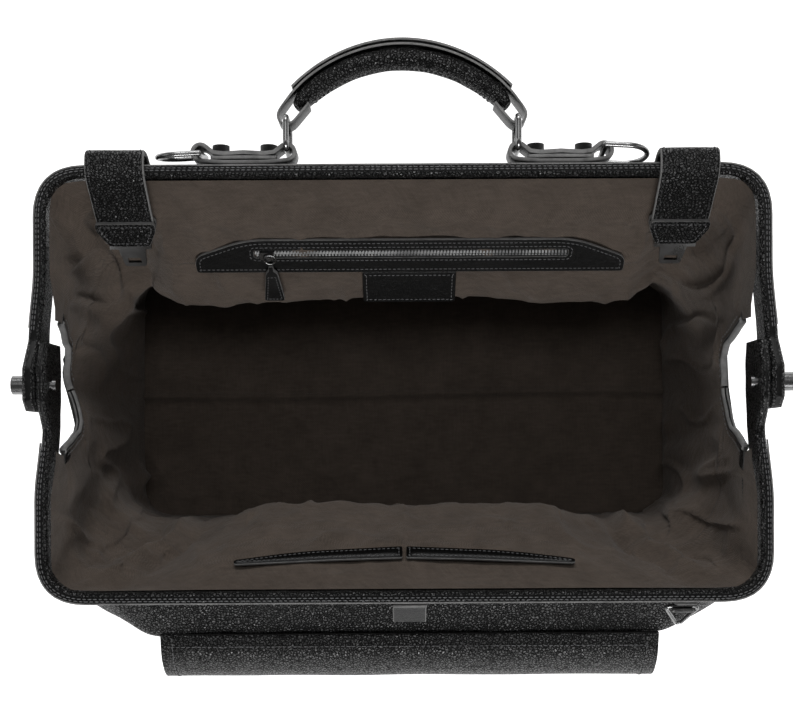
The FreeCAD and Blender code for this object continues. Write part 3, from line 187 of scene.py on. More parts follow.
class Material:
    """A material with one method that makes nodes, and a finished Principled surface."""

    def __init__(self, name):
        self.material = bpy.data.materials.new(name)
        self.material.use_nodes = True
        self.nodes = self.material.node_tree.nodes
        self.links = self.material.node_tree.links
        self.surface = self.nodes["Principled BSDF"]

    def node(self, kind, output=0, settings=None, inputs=()):
        """A node: its settings, its inputs by order or by name, and the output that is wanted."""
        made = self.nodes.new(kind)
        for key, value in (settings or {}).items():
            setattr(made, key, value)
        pairs = inputs.items() if isinstance(inputs, dict) else enumerate(inputs)
        for key, value in pairs:
            self.put(made.inputs[key], value)
        return Socket(self, made.outputs[output])

    def put(self, target, value):
        """Gives an input a number, a colour or a wrapped socket."""
        if isinstance(value, Socket):
            self.links.new(value.socket, target)
        elif value is not None:
            target.default_value = value

    def place(self):
        return self.node("ShaderNodeTexCoord", "Object")

    def flat(self):
        return self.node("ShaderNodeUVMap")

    def stretch(self, vector, scale, turn=0.0):
        return self.node(
            "ShaderNodeMapping", 0, {}, {"Vector": vector, "Scale": scale, "Rotation": (0.0, 0.0, turn)}
        )

    def noise(self, scale, detail=3.0, vector=None, rough=0.5, distortion=0.0):
        return self.node(
            "ShaderNodeTexNoise", "Fac", {},
            {"Vector": vector or self.place(), "Scale": scale, "Detail": detail, "Roughness": rough,
             "Distortion": distortion},
        )

    def cells(self, scale, feature="F1", vector=None, smooth=0.6, spread=1.0):
        settings = {"feature": feature}
        inputs = {"Vector": vector or self.place(), "Scale": scale, "Randomness": spread}
        if feature == "SMOOTH_F1":
            inputs["Smoothness"] = smooth
        return self.node("ShaderNodeTexVoronoi", "Distance", settings, inputs)

    def warp(self, amount, scale):
        """Object coordinates pushed about by a noise, for shapes that shouldn't be regular."""
        place = self.place()
        push = self.node("ShaderNodeTexNoise", "Color", {}, {"Vector": place, "Scale": scale, "Detail": 2.0})
        scaled = self.node(
            "ShaderNodeVectorMath", 0, {"operation": "SCALE"}, {"Vector": push, "Scale": amount}
        )
        return self.node("ShaderNodeVectorMath", 0, {"operation": "ADD"}, [place, scaled])

    def blend(self, amount, first, second):
        """A colour between two colours."""
        made = self.nodes.new("ShaderNodeMix")
        made.data_type = "RGBA"
        for socket, value in zip((made.inputs[0], made.inputs[6], made.inputs[7]), (amount, first, second)):
            self.put(socket, value)
        return Socket(self, made.outputs[2])

    def bump(self, height, distance, strength=1.0, under=None):
        return self.node(
            "ShaderNodeBump", 0, {},
            {"Height": height, "Distance": distance, "Strength": strength, "Normal": under},
        )

    def finish(self, **inputs):
        for key, value in inputs.items():
            self.put(self.surface.inputs[key.replace("_", " ")], value)
        return self.material


def grey(value, warm=0.0):
    return (value * (1 + warm), value, value * (1 - warm), 1.0)


# %% Leather
# %% [markdown]
# Pebbled leather: smooth cells of two sizes, pushed out of line, with fine pores on top and broad
# creases below. Smooth leather keeps the pores alone. A cut edge is pale and fibrous.


def pebbled_leather():
    m = Material("pebbled_leather")
    where = m.warp(0.0016, 240.0)
    large = m.cells(540.0, "DISTANCE_TO_EDGE", where).step(0.0, 0.26)
    small = m.cells(980.0, "DISTANCE_TO_EDGE", where).step(0.0, 0.26)
    pebbles = large * (0.72 + small * 0.28)
    creases = m.noise(34.0, 4.0, m.stretch(m.place(), (1.0, 0.45, 1.0)), 0.6, 1.2)
    pores = m.noise(2600.0, 2.0)
    normal = m.bump(pebbles + pores * 0.06, 0.0007, 1.0, m.bump(creases, 0.0014, 0.5))
    # Darker in the valleys between the pebbles and lighter on their tops: painted shade in the grain's hollows.
    tone = m.blend(pebbles, grey(0.0012), grey(0.0055, -0.02))
    return m.finish(
        Base_Color=tone, Roughness=0.48 - pebbles * 0.26 + m.noise(45.0, 3.0) * 0.1, Normal=normal,
        Specular_IOR_Level=0.08 + pebbles * 0.85,
    )


def smooth_leather():
    m = Material("smooth_leather")
    grain = m.cells(1500.0, "SMOOTH_F1", m.warp(0.0012, 500.0), 0.5)
    pores = m.noise(2400.0, 2.0)
    soft = m.noise(70.0, 3.0, None, 0.55, 0.8)
    normal = m.bump((1.0 - grain) + pores * 0.3, 0.00016, 0.8, m.bump(soft, 0.0008, 0.35))
    wear = m.noise(26.0, 5.0).step(0.55, 0.75)
    tone = m.blend(wear, grey(0.0025), grey(0.0055, 0.01))
    return m.finish(
        Base_Color=tone, Roughness=0.32 + wear * 0.12 + pores * 0.06, Normal=normal, Specular_IOR_Level=0.2,
    )


def raw_edge(name, light, dark):
    m = Material(name)
    layers = m.noise(900.0, 4.0, m.stretch(m.place(), (0.4, 0.4, 2.2)), 0.65)
    fibres = m.noise(3200.0, 2.0)
    dirt = m.noise(120.0, 4.0).step(0.4, 0.75)
    tone = m.blend(layers * 0.7 + dirt * 0.3, grey(light, 0.01), grey(dark))
    return m.finish(
        Base_Color=tone, Roughness=0.8, Normal=m.bump(layers + fibres * 0.5, 0.0003, 0.8),
        Specular_IOR_Level=0.25,
    )


def lining_cloth():
    m = Material("lining_cloth")
    flat = m.flat()
    warp = m.node(
        "ShaderNodeTexWave", "Fac", {"bands_direction": "DIAGONAL"},
        {"Vector": flat, "Scale": 420.0, "Distortion": 0.6, "Detail": 1.0, "Detail Scale": 2.0},
    )
    weft = m.node(
        "ShaderNodeTexWave", "Fac", {"bands_direction": "X"},
        {"Vector": flat, "Scale": 620.0, "Distortion": 0.5, "Detail": 1.0, "Detail Scale": 2.0},
    )
    slubs = m.noise(900.0, 3.0, m.stretch(flat, (1.0, 0.08, 1.0)))
    creases = m.noise(30.0, 5.0, m.place(), 0.6, 1.5)
    fine = m.noise(95.0, 4.0, m.place(), 0.6, 1.0)
    weave = warp * 0.6 + weft * 0.4
    broad = m.bump(creases + fine * 0.35, 0.0042, 0.55)
    normal = m.bump(weave + slubs * 0.7, 0.0002, 1.0, broad)
    streaks = m.noise(420.0, 4.0, m.stretch(flat, (0.25, 1.0, 1.0)), 0.7)
    mottle = m.noise(55.0, 4.0)
    tone = m.blend(
        (weave * 0.2 + slubs * 0.2 + streaks * 0.4 + mottle * 0.3 + creases * 0.1).step(0.3, 0.85),
        (0.115, 0.09, 0.073, 1.0), (0.048, 0.037, 0.029, 1.0),
    )
    return m.finish(
        Base_Color=tone, Roughness=0.86, Normal=normal, Specular_IOR_Level=0.2,
        Sheen_Weight=0.12, Sheen_Roughness=0.5,
    )


def metal(name, value, rough, scratch=0.5, warm=0.0):
    m = Material(name)
    brushed = m.noise(900.0, 3.0, m.stretch(m.place(), (1.0, 0.15, 1.0)))
    smudge = m.noise(70.0, 4.0).step(0.35, 0.8)
    tone = m.blend(smudge, grey(value, warm), grey(value * 0.7, warm))
    return m.finish(
        Base_Color=tone, Metallic=1.0, Roughness=rough + smudge * 0.12 + brushed * 0.05,
        Normal=m.bump(brushed, 0.00004, scratch),
    )


def thread(name, colour):
    m = Material(name)
    twist = m.node(
        "ShaderNodeTexWave", "Fac", {"bands_direction": "DIAGONAL"},
        {"Vector": m.place(), "Scale": 1400.0, "Distortion": 0.4},
    )
    tone = m.blend(twist, colour, tuple(c * 0.45 for c in colour[:3]) + (1.0,))
    return m.finish(Base_Color=tone, Roughness=0.5, Normal=m.bump(twist, 0.0001, 0.8))


def knurled(name):
    m = Material(name)
    ridges = m.node(
        "ShaderNodeTexWave", "Fac", {"bands_direction": "X"},
        {"Vector": m.place(), "Scale": 520.0, "Distortion": 0.0},
    )
    return m.finish(
        Base_Color=grey(0.022), Metallic=0.8, Roughness=0.38 + ridges * 0.1,
        Normal=m.bump(ridges, 0.0003, 0.8),
    )


def woven_tape():
    m = Material("zip_tape")
    rows = m.node(
        "ShaderNodeTexWave", "Fac", {"bands_direction": "X"},
        {"Vector": m.place(), "Scale": 900.0, "Distortion": 0.3},
    )
    return m.finish(
        Base_Color=m.blend(rows, grey(0.01), grey(0.02)), Roughness=0.8, Normal=m.bump(rows, 0.00012, 0.8)
    )


def plain(name, colour, rough):
    m = Material(name)
    grain = m.noise(300.0, 4.0)
    tone = m.blend(grain, colour, tuple(c * 0.8 for c in colour[:3]) + (1.0,))
    return m.finish(Base_Color=tone, Roughness=rough, Normal=m.bump(grain, 0.0003, 0.3))


PEBBLED, SMOOTH, CLOTH = pebbled_leather(), smooth_leather(), lining_cloth()
RAW, DYED = raw_edge("raw_edge", 0.27, 0.06), raw_edge("dyed_edge", 0.05, 0.018)
GUNMETAL, BRIGHT = metal("gunmetal", 0.2, 0.24), metal("bright_wire", 0.26, 0.2)
BOLT, TAPE = knurled("black_bolts"), woven_tape()
THREAD = thread("black_thread", (0.05, 0.05, 0.052, 1.0))
PALE_THREAD = thread("grey_thread", (0.16, 0.16, 0.165, 1.0))


def paper():
    """White paper: it takes the shadow, and what looks at it sees a little more than its own light."""
    m = Material("paper_sweep")
    fibres = m.noise(300.0, 3.0)
    seen = m.node("ShaderNodeLightPath", "Is Camera Ray")
    mirrored = m.node("ShaderNodeLightPath", "Is Glossy Ray")
    through = m.node("ShaderNodeLightPath", "Is Transmission Ray")
    return m.finish(
        Base_Color=m.blend(fibres, grey(0.9), grey(0.93)), Roughness=0.95, Specular_IOR_Level=0.1,
        Emission_Color=(1.0, 1.0, 1.0, 1.0), Emission_Strength=seen.maximum(mirrored).maximum(through) * 0.8,
    )


FLOOR = paper()
BOARD = plain("fibre_board", (0.3, 0.25, 0.2, 1.0), 0.9)
CORE = plain("grip_core", (0.2, 0.2, 0.2, 1.0), 0.9)
STEEL = metal("flat_steel", 0.5, 0.35)

# %% Mesh tools
# %% [markdown]
# Three tools make nearly every piece: a grid of points becomes a sheet, a row of cross-sections
# becomes a sweep, and a path of points becomes a row of stitches through Geometry Nodes.


def commit(name, points, faces, materials, slots=None, uvs=None, smooth=True):
    """A mesh object from points in millimetres."""
    mesh = bpy.data.meshes.new(name)
    mesh.from_pydata((np.asarray(points, float) * MM).tolist(), [], faces)
    for material in materials:
        mesh.materials.append(material)
    if slots is not None:
        mesh.polygons.foreach_set("material_index", np.asarray(slots, np.int32))
    mesh.polygons.foreach_set("use_smooth", np.full(len(mesh.polygons), smooth))
    if uvs is not None:
        layer = mesh.uv_layers.new(name="UVMap")
        index = np.empty(len(mesh.loops), np.int32)
        mesh.loops.foreach_get("vertex_index", index)
        layer.data.foreach_set("uv", (np.asarray(uvs, float)[index] * MM).ravel())
    mesh.update()
    made = bpy.data.objects.new(name, mesh)
    bpy.context.collection.objects.link(made)
    return made


def unit(vectors):
    length = np.linalg.norm(vectors, axis=-1, keepdims=True)
    return vectors / np.maximum(length, 1e-9)


def grid_normals(grid):
    """A unit normal at each point of a grid of points."""
    along = np.gradient(grid, axis=0)
    across = np.gradient(grid, axis=1)
    return unit(np.cross(along, across))


def wobble(grid, size, amount, seed=0.0, stretch=(1.0, 1.0, 1.0)):
    """Smooth random numbers at each point, from minus to plus the amount."""
    flat = grid.reshape(-1, 3) * np.asarray(stretch) / size + seed * 17.3
    values = [noise.noise(Vector(point)) for point in flat]
    return np.asarray(values).reshape(grid.shape[:-1]) * amount


def creases(grid, size, amount, seed=0.0, stretch=(1.0, 1.0, 1.0)):
    """Thin ridges that wander over a cloth, where a smooth random number passes zero."""
    near = np.abs(wobble(grid, size, 1.0, seed, stretch))
    return amount * np.clip(1 - near * 5.0, 0, 1) ** 2


def grid_faces(rows, columns, start=0, flip=False):
    index = start + np.arange(rows * columns).reshape(rows, columns)
    quads = np.stack([index[:-1, :-1], index[:-1, 1:], index[1:, 1:], index[1:, :-1]], -1).reshape(-1, 4)
    return (quads[:, ::-1] if flip else quads).tolist()


def lengths(grid, axis):
    """How far each point of a grid lies along it, through the grid's own middle line."""
    steps = np.linalg.norm(np.diff(grid, axis=axis), axis=-1)
    start = np.zeros_like(np.take(steps, [0], axis))
    return np.cumsum(np.concatenate([start, steps], axis), axis)


def sheet(name, grid, material):
    """A single-sided grid of points as cloth."""
    rows, columns = grid.shape[:2]
    uvs = np.stack([lengths(grid, 1), lengths(grid, 0)], -1).reshape(-1, 2)
    return commit(name, grid.reshape(-1, 3), grid_faces(rows, columns), [material], None, uvs)


def hide(name, grid, thickness, face, edge):
    """A grid of points as leather of some thickness, with pale cut edges. Inside lies against the normal."""
    rows, columns = grid.shape[:2]
    normals = grid_normals(grid)
    under = grid - normals * thickness
    points = np.concatenate([grid.reshape(-1, 3), under.reshape(-1, 3)])
    half = rows * columns
    faces = grid_faces(rows, columns) + grid_faces(rows, columns, half, True)
    slots = [0] * len(faces)
    index = np.arange(half).reshape(rows, columns)
    ring = np.concatenate([index[0, :-1], index[:-1, -1], index[-1, :0:-1], index[:0:-1, 0]])
    for a, b in zip(ring, np.roll(ring, -1)):
        faces.append([int(b), int(a), int(a + half), int(b + half)])
        slots.append(1)
    uvs = np.stack([lengths(grid, 1), lengths(grid, 0)], -1).reshape(-1, 2)
    return commit(name, points, faces, [face, edge], slots, np.concatenate([uvs, uvs]))


def fillet(points, radii, step=2.0):
    """A polyline with its corners rounded, resampled at an even step."""
    points = [np.asarray(p, float) for p in points]
    radii = radii if isinstance(radii, (list, tuple)) else [radii] * (len(points) - 2)
    path = [points[0]]
    for before, corner, after, radius in zip(points, points[1:], points[2:], radii):
        reach = min(radius, np.linalg.norm(corner - before) * 0.48, np.linalg.norm(after - corner) * 0.48)
        start = corner + unit(before - corner) * reach
        end = corner + unit(after - corner) * reach
        for t in np.linspace(0, 1, 9):
            path.append((1 - t) ** 2 * start + 2 * t * (1 - t) * corner + t**2 * end)
    path.append(points[-1])
    return resample(np.asarray(path), step)


def resample(path, step):
    run = np.concatenate([[0], np.cumsum(np.linalg.norm(np.diff(path, axis=0), axis=1))])
    keep = np.concatenate([[True], np.diff(run) > 1e-6])
    path, run = path[keep], run[keep]
    count = max(int(round(run[-1] / step)), 1) + 1
    at = np.linspace(0, run[-1], count)
    return np.stack([np.interp(at, run, path[:, axis]) for axis in range(path.shape[1])], 1)


def rounded_box(width, height, radius, steps=3):
    """A cross-section as (across, up) points, anticlockwise from the lower right corner's arc."""
    points = []
    for quarter, (sx, sy) in enumerate(((1, -1), (1, 1), (-1, 1), (-1, -1))):
        centre = ((width / 2 - radius) * sx, (height / 2 - radius) * sy)
        for t in np.linspace(0, math.pi / 2, steps + 1):
            angle = t + math.pi / 2 * (quarter - 1)
            points.append((centre[0] + radius * math.cos(angle), centre[1] + radius * math.sin(angle)))
    return np.asarray(points)


def box_slots(steps, arcs, right, top, left, bottom):
    """Material numbers round a rounded box: its four corner arcs and its four flats."""
    slots = []
    for flat in (right, top, left, bottom):
        slots += [arcs] * steps + [flat]
    return slots


def sweep(name, path, up, sections, materials, slots=None, closed=False, caps=True, shape=None):
    """A cross-section carried along a path. up is the section's second axis."""
    path = np.asarray(path, float)
    count = len(path)
    tangent = unit(np.roll(path, -1, 0) - np.roll(path, 1, 0)) if closed else unit(np.gradient(path, axis=0))
    up = unit(np.broadcast_to(np.asarray(up, float), path.shape))
    across = unit(np.cross(tangent, up))
    up = unit(np.cross(across, tangent))
    sections = np.broadcast_to(np.asarray(sections, float), (count,) + np.asarray(sections).shape[-2:])
    rings = path[:, None] + across[:, None] * sections[..., :1] + up[:, None] * sections[..., 1:]
    if shape is not None:
        rings = shape(rings)
    size = rings.shape[1]
    faces, face_slots = [], []
    slots = slots or [0] * size
    last = count if closed else count - 1
    for i in range(last):
        a, b = i * size, ((i + 1) % count) * size
        for j in range(size):
            k = (j + 1) % size
            faces.append([a + j, a + k, b + k, b + j])
            face_slots.append(slots[j])
    if caps and not closed:
        edge = min(1, len(materials) - 1)
        faces += [list(range(size))[::-1], [(count - 1) * size + j for j in range(size)]]
        face_slots += [edge, edge]
    along = np.repeat(np.concatenate([[0], np.cumsum(np.linalg.norm(np.diff(path, axis=0), axis=1))]), size)
    rim = np.linalg.norm(np.diff(np.vstack([sections[0], sections[0][:1]]), axis=0), axis=1)
    around = np.tile(np.concatenate([[0], np.cumsum(rim)[:-1]]), count)
    made = commit(name, rings.reshape(-1, 3), faces, materials, face_slots, np.stack([around, along], 1))
    return made


def join(name, pieces):
    """Several meshes as one, their materials kept."""
    slots, points, faces, face_slots, uvs = [], [], [], [], []
    for piece in pieces:
        mesh = piece.data
        start = len(points)
        points += [vertex.co[:] for vertex in mesh.vertices]
        lookup = []
        for material in mesh.materials:
            if material not in slots:
                slots.append(material)
            lookup.append(slots.index(material))
        for polygon in mesh.polygons:
            faces.append([start + v for v in polygon.vertices])
            face_slots.append(lookup[polygon.material_index] if lookup else 0)
        layer = mesh.uv_layers.active
        for loop in range(len(mesh.loops)):
            uvs.append(tuple(layer.data[loop].uv) if layer else (0.0, 0.0))
    for piece in pieces:
        bpy.data.objects.remove(piece)
    made = commit(name, np.asarray(points) / MM, faces, slots, face_slots)
    made.data.uv_layers.new(name="UVMap").data.foreach_set("uv", np.asarray(uvs).ravel())
    return made


def stitch_nodes():
    """Geometry Nodes that lay separate stitches along a line."""
    group = bpy.data.node_groups.new("Stitch row", "GeometryNodeTree")
    face = group.interface
    for name, kind, value in (
        ("Line", "NodeSocketGeometry", None), ("Spacing", "NodeSocketFloat", 0.003),
        ("Stitch Length", "NodeSocketFloat", 0.0022), ("Thread Radius", "NodeSocketFloat", 0.0003),
        ("Unevenness", "NodeSocketFloat", 0.12), ("Seed", "NodeSocketInt", 3),
        ("Thread", "NodeSocketMaterial", None),
    ):
        socket = face.new_socket(name, in_out="INPUT", socket_type=kind)
        if value is not None:
            socket.default_value = value
    face.new_socket("Stitches", in_out="OUTPUT", socket_type="NodeSocketGeometry")
    add, link = group.nodes.new, group.links.new
    entry, leave = add("NodeGroupInput"), add("NodeGroupOutput")
    curve, points = add("GeometryNodeMeshToCurve"), add("GeometryNodeCurveToPoints")
    ball = add("GeometryNodeMeshUVSphere")
    points.mode = "LENGTH"
    ball.inputs["Segments"].default_value, ball.inputs["Rings"].default_value = 8, 6
    ball.inputs["Radius"].default_value = 1.0
    copies, real = add("GeometryNodeInstanceOnPoints"), add("GeometryNodeRealizeInstances")
    paint = add("GeometryNodeSetMaterial")
    half, uneven, scale = add("ShaderNodeMath"), add("FunctionNodeRandomValue"), add("ShaderNodeCombineXYZ")
    low, high, long = add("ShaderNodeMath"), add("ShaderNodeMath"), add("ShaderNodeMath")
    smooth = add("GeometryNodeSetShadeSmooth")
    half.operation, low.operation, high.operation, long.operation = "MULTIPLY", "SUBTRACT", "ADD", "MULTIPLY"
    half.inputs[1].default_value, low.inputs[0].default_value, high.inputs[0].default_value = 0.5, 1.0, 1.0
    link(entry.outputs["Line"], curve.inputs[0])
    link(curve.outputs[0], points.inputs["Curve"])
    link(entry.outputs["Spacing"], points.inputs["Length"])
    link(entry.outputs["Stitch Length"], half.inputs[0])
    link(entry.outputs["Unevenness"], low.inputs[1])
    link(entry.outputs["Unevenness"], high.inputs[1])
    floats = [s for s in uneven.inputs if s.type == "VALUE"]
    link(low.outputs[0], floats[0])
    link(high.outputs[0], floats[1])
    link(entry.outputs["Seed"], uneven.inputs["Seed"])
    link(half.outputs[0], long.inputs[0])
    link(next(s for s in uneven.outputs if s.type == "VALUE"), long.inputs[1])
    for axis in ("X", "Y"):
        link(entry.outputs["Thread Radius"], scale.inputs[axis])
    link(long.outputs[0], scale.inputs["Z"])
    link(points.outputs["Points"], copies.inputs["Points"])
    link(points.outputs["Rotation"], copies.inputs["Rotation"])
    link(ball.outputs["Mesh"], copies.inputs["Instance"])
    link(scale.outputs[0], copies.inputs["Scale"])
    link(copies.outputs[0], real.inputs[0])
    link(real.outputs[0], smooth.inputs[0])
    link(smooth.outputs[0], paint.inputs["Geometry"])
    link(entry.outputs["Thread"], paint.inputs["Material"])
    link(paint.outputs[0], leave.inputs[0])
    return group


STITCH = stitch_nodes()


def grown(source, group, values):
    """The mesh that a Geometry Nodes group makes of an object; the source goes."""
    modifier = source.modifiers.new("grow", "NODES")
    modifier.node_group = group
    for item in group.interface.items_tree:
        if item.in_out == "INPUT" and item.name in values:
            modifier[item.identifier] = values[item.name]
    bpy.context.view_layer.update()
    ready = source.evaluated_get(bpy.context.evaluated_depsgraph_get())
    mesh = bpy.data.meshes.new_from_object(ready)
    mesh.name = source.name
    name = source.name
    bpy.data.objects.remove(source)
    made = bpy.data.objects.new(name, mesh)
    bpy.context.collection.objects.link(made)
    return made


def stitches(name, lines, spacing=3.0, length=2.2, radius=0.32, material=None, seed=3):
    """Rows of stitches along several lines of points in millimetres."""
    points, edges = [], []
    for line in lines:
        start = len(points)
        points += [list(p) for p in line]
        edges += [(start + i, start + i + 1) for i in range(len(line) - 1)]
    mesh = bpy.data.meshes.new(name)
    mesh.from_pydata((np.asarray(points) * MM).tolist(), edges, [])
    line_object = bpy.data.objects.new(name, mesh)
    bpy.context.collection.objects.link(line_object)
    return grown(
        line_object, STITCH,
        {"Spacing": spacing * MM, "Stitch Length": length * MM, "Thread Radius": radius * MM,
         "Seed": seed, "Thread": material or THREAD},
    )


def rides(made, body, slot, *replaced):
    """Hands a finished piece to the frame: its body and the nodes it stands for. The slot is not used."""
    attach(made, body)
    if replaced:
        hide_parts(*replaced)
    return made


def shifted(path, up, across, rise):
    """A path moved sideways and along up, for stitches and edges beside a sweep."""
    path = np.asarray(path, float)
    up = unit(np.broadcast_to(np.asarray(up, float), path.shape))
    side = unit(np.cross(unit(np.gradient(path, axis=0)), up))
    return path + side * np.reshape(across, (-1, 1)) + up * np.reshape(rise, (-1, 1))


def plate(name, loops, thickness, matrix, face, edge, level=0.0):
    """A flat piece of leather with cut edges: an outline, maybe a hole, and where its plane lies."""
    import bmesh

    made = bmesh.new()
    edges = []
    for loop in loops:
        corners = [made.verts.new((x, y, level)) for x, y in loop]
        edges += [made.edges.new((a, b)) for a, b in zip(corners, corners[1:] + corners[:1])]
    filled = bmesh.ops.triangle_fill(made, use_beauty=True, use_dissolve=False, edges=edges)
    flat = [item for item in filled["geom"] if isinstance(item, bmesh.types.BMFace)]
    bmesh.ops.recalc_face_normals(made, faces=flat)
    if flat[0].normal.z > 0:
        bmesh.ops.reverse_faces(made, faces=flat)
    grown_up = bmesh.ops.extrude_face_region(made, geom=flat)
    raised = [item for item in grown_up["geom"] if isinstance(item, bmesh.types.BMVert)]
    bmesh.ops.translate(made, vec=(0, 0, thickness), verts=raised)
    bmesh.ops.recalc_face_normals(made, faces=made.faces)
    for item in made.faces:
        item.material_index = 0 if abs(item.normal.z) > 0.5 else 1
        item.smooth = False
    made.transform(matrix)
    mesh = bpy.data.meshes.new(name)
    made.transform(Matrix.Scale(MM, 4))
    made.to_mesh(mesh)
    made.free()
    mesh.materials.append(face)
    mesh.materials.append(edge)
    item = bpy.data.objects.new(name, mesh)
    bpy.context.collection.objects.link(item)
    bevel = item.modifiers.new("edge", "BEVEL")
    bevel.width, bevel.segments, bevel.limit_method, bevel.angle_limit = 0.3 * MM, 2, "ANGLE", 0.9
    bevel.material = 1
    return item


def rounded_outline(corners, step=1.5):
    """A closed outline of (x, y, radius) corners as points."""
    points, path = [np.array(c[:2], float) for c in corners], []
    for index, corner in enumerate(points):
        before, after, radius = points[index - 1], points[(index + 1) % len(points)], corners[index][2]
        reach = min(radius, np.linalg.norm(corner - before) * 0.48, np.linalg.norm(after - corner) * 0.48)
        start, end = corner + unit(before - corner) * reach, corner + unit(after - corner) * reach
        for t in np.linspace(0, 1, 7) if radius else (0.5,):
            path.append((1 - t) ** 2 * start + 2 * t * (1 - t) * corner + t**2 * end if radius else corner)
    path.append(path[0])
    even = resample(np.asarray(path), step)
    return [tuple(p) for p in even[:-1]]


def inset(loop, amount):
    """An outline moved inward by an amount."""
    points = np.asarray(loop, float)
    tangent = unit(np.roll(points, -1, 0) - np.roll(points, 1, 0))
    normal = np.stack([-tangent[:, 1], tangent[:, 0]], 1)
    area = np.sum(points[:, 0] * np.roll(points[:, 1], -1) - np.roll(points[:, 0], -1) * points[:, 1])
    return points + normal * amount * (1 if area > 0 else -1)


# %% Places shared by the pieces
# %% [markdown]
# The jaws lie open at one height. Walls spread from the base to the jaws, and under each hinge the
# end walls are cut away in a notch.
TOP, UNDER, HINGE, MIDDLE = 163.0, 144.0, 165.0, 153.5
JAW_HALF, JAW_REACH, JAW_WIDE = 213.5, 127.0, 7.0
Z = np.array([0.0, 0.0, 1.0])


def notch_at(z):
    return np.interp(z, [107.9, 108.0, 114.0, 144.0], [0.0, 19.0, 26.6, 38.0])


def shell_x(z):
    return np.interp(z, [8.8, 60.0, 108.0, 130.0, 144.0], [187.6, 195.5, 202.5, 203.6, 203.2])


def lining_x(z):
    return np.interp(z, [12.2, 60.0, 108.0, 130.0, 158.0], [183.6, 191.8, 199.0, 200.6, 202.6])


def side_slack(grid):
    """How far the end walls bulge out under the hinges, where nothing holds them."""
    y = grid[..., 1]
    left = 12.0 * np.exp(-(((y - 12.0) / 24.0) ** 2)) + 1.5 * np.exp(-(((y + 30.0) / 18.0) ** 2))
    right = 4.0 * np.exp(-(((y + 24.0) / 20.0) ** 2)) + 0.5
    level = np.interp(grid[..., 2], [20.0, 95.0, 120.0, 144.0, 150.0], [0.0, 0.8, 1.0, 0.35, 0.0])
    end = np.clip((np.abs(grid[..., 0]) - 150.0) / 30.0, 0, 1)
    return np.where(grid[..., 0] < 0, -left, right) * level * end


# %% The two jaws
# %% [markdown]
# Each jaw is a flat bar sewn into leather. Its arms step aside near the pin, the back pair outside
# and the front pair inside. The face that meets the other jaw is smooth, with a row of stitches by
# each border and a pale strip along the outer one: partly a cut edge, partly a painted highlight
# for the gloss on the rounded rim.


def ear_top(y):
    return np.interp(y, [-15.0, -9.0, 9.0, 26.0], [168.0, 174.0, 174.0, TOP])


def make_jaw(name, sign, ear_x, ear_end, body):
    middle = JAW_HALF - JAW_WIDE / 2
    reach = JAW_REACH - JAW_WIDE / 2
    corners = [
        (sign * ear_x, -sign * ear_end), (sign * ear_x, sign * 30), (sign * middle, sign * 62),
        (sign * middle, sign * reach), (-sign * middle, sign * reach), (-sign * middle, sign * 62),
        (-sign * ear_x, sign * 30), (-sign * ear_x, -sign * ear_end),
    ]
    path = fillet([(x, y, MIDDLE) for x, y in corners], [9, 9, 26, 26, 9, 9], 1.6)
    along = sign * path[:, 1]
    wide = np.interp(along, [30, 62], [7.5 if ear_end < 20 else 5.6, JAW_WIDE])
    top = ear_top(along if ear_end < 20 else np.where(along < -9, -9 - (-9 - along) * 0.4, along))
    sections = []
    for width, high in zip(wide, top):
        section = rounded_box(width, high - UNDER, 2.3, 4)
        section[:, 1] += (high + UNDER) / 2 - MIDDLE
        sections.append(section)
    inner_bulge = 1.6 if ear_end > 20 else 0.6

    def settle(rings):
        near = np.clip(1 - np.abs(sign * rings[..., 1] + 2) / 46, 0, 1)
        near = near * near * (3 - 2 * near)
        inside = np.clip((path[:, None, 0] - rings[..., 0]) * np.sign(path[:, None, 0]) / 3.7, 0, 1)
        low = np.clip((170 - rings[..., 2]) / 14, 0, 1)
        push = near * inside * inner_bulge * low * (0.75 + 0.5 * wobble(rings, 14.0, 1.0, 2.0))
        rings[..., 0] -= np.sign(path[:, None, 0]) * push
        tremble = wobble(rings, 9.0, 0.22, 5.0 + sign)
        rings[..., 2] += tremble
        rings[..., 1] += wobble(rings, 12.0, 0.2, 9.0)
        return rings

    cover = sweep(
        f"{name}_jaw_leather", path, Z, np.asarray(sections), [PEBBLED, SMOOTH, DYED],
        box_slots(4, 0, 0, 1, 0, 0), shape=settle,
    )
    for polygon in list(cover.data.polygons)[-2:]:
        polygon.material_index = 2
    rides(cover, body, "pebbled_leather", f"{name}_jaw_cover")
    run = path[along > 33]
    rim = shifted(run, Z, JAW_WIDE / 2 - 0.35, TOP - MIDDLE - 0.6)
    rim[:, 2] += wobble(rim[None], 15.0, 0.25, 4.0)[0]
    # A pale strip along the outer rim: partly a cut edge, partly a painted highlight for the gloss on the rounded
    # edge.
    edge = sweep(f"{name}_rim", rim, Z, rounded_box(0.9, 1.4, 0.35, 2), [RAW])
    rides(edge, body, "smooth_leather")
    low_rim = shifted(run, Z, JAW_WIDE / 2 + 0.05, UNDER - MIDDLE + 3.0)
    lines = [shifted(run, Z, JAW_WIDE / 2 - inward, TOP - MIDDLE + 0.12) for inward in (1.9, 3.3)]
    rides(stitches(f"{name}_jaw_stitches", lines, 3.1, 2.3, 0.34, PALE_THREAD, 5), body, "smooth_leather")
    rides(stitches(f"{name}_jaw_low_stitches", [low_rim], 3.4, 2.5, 0.34, THREAD, 6), body, "smooth_leather")
    return path


make_jaw("back", 1, 213.25, 15.0, "back_jaw")
make_jaw("front", -1, 206.2, 24.0, "front_jaw")
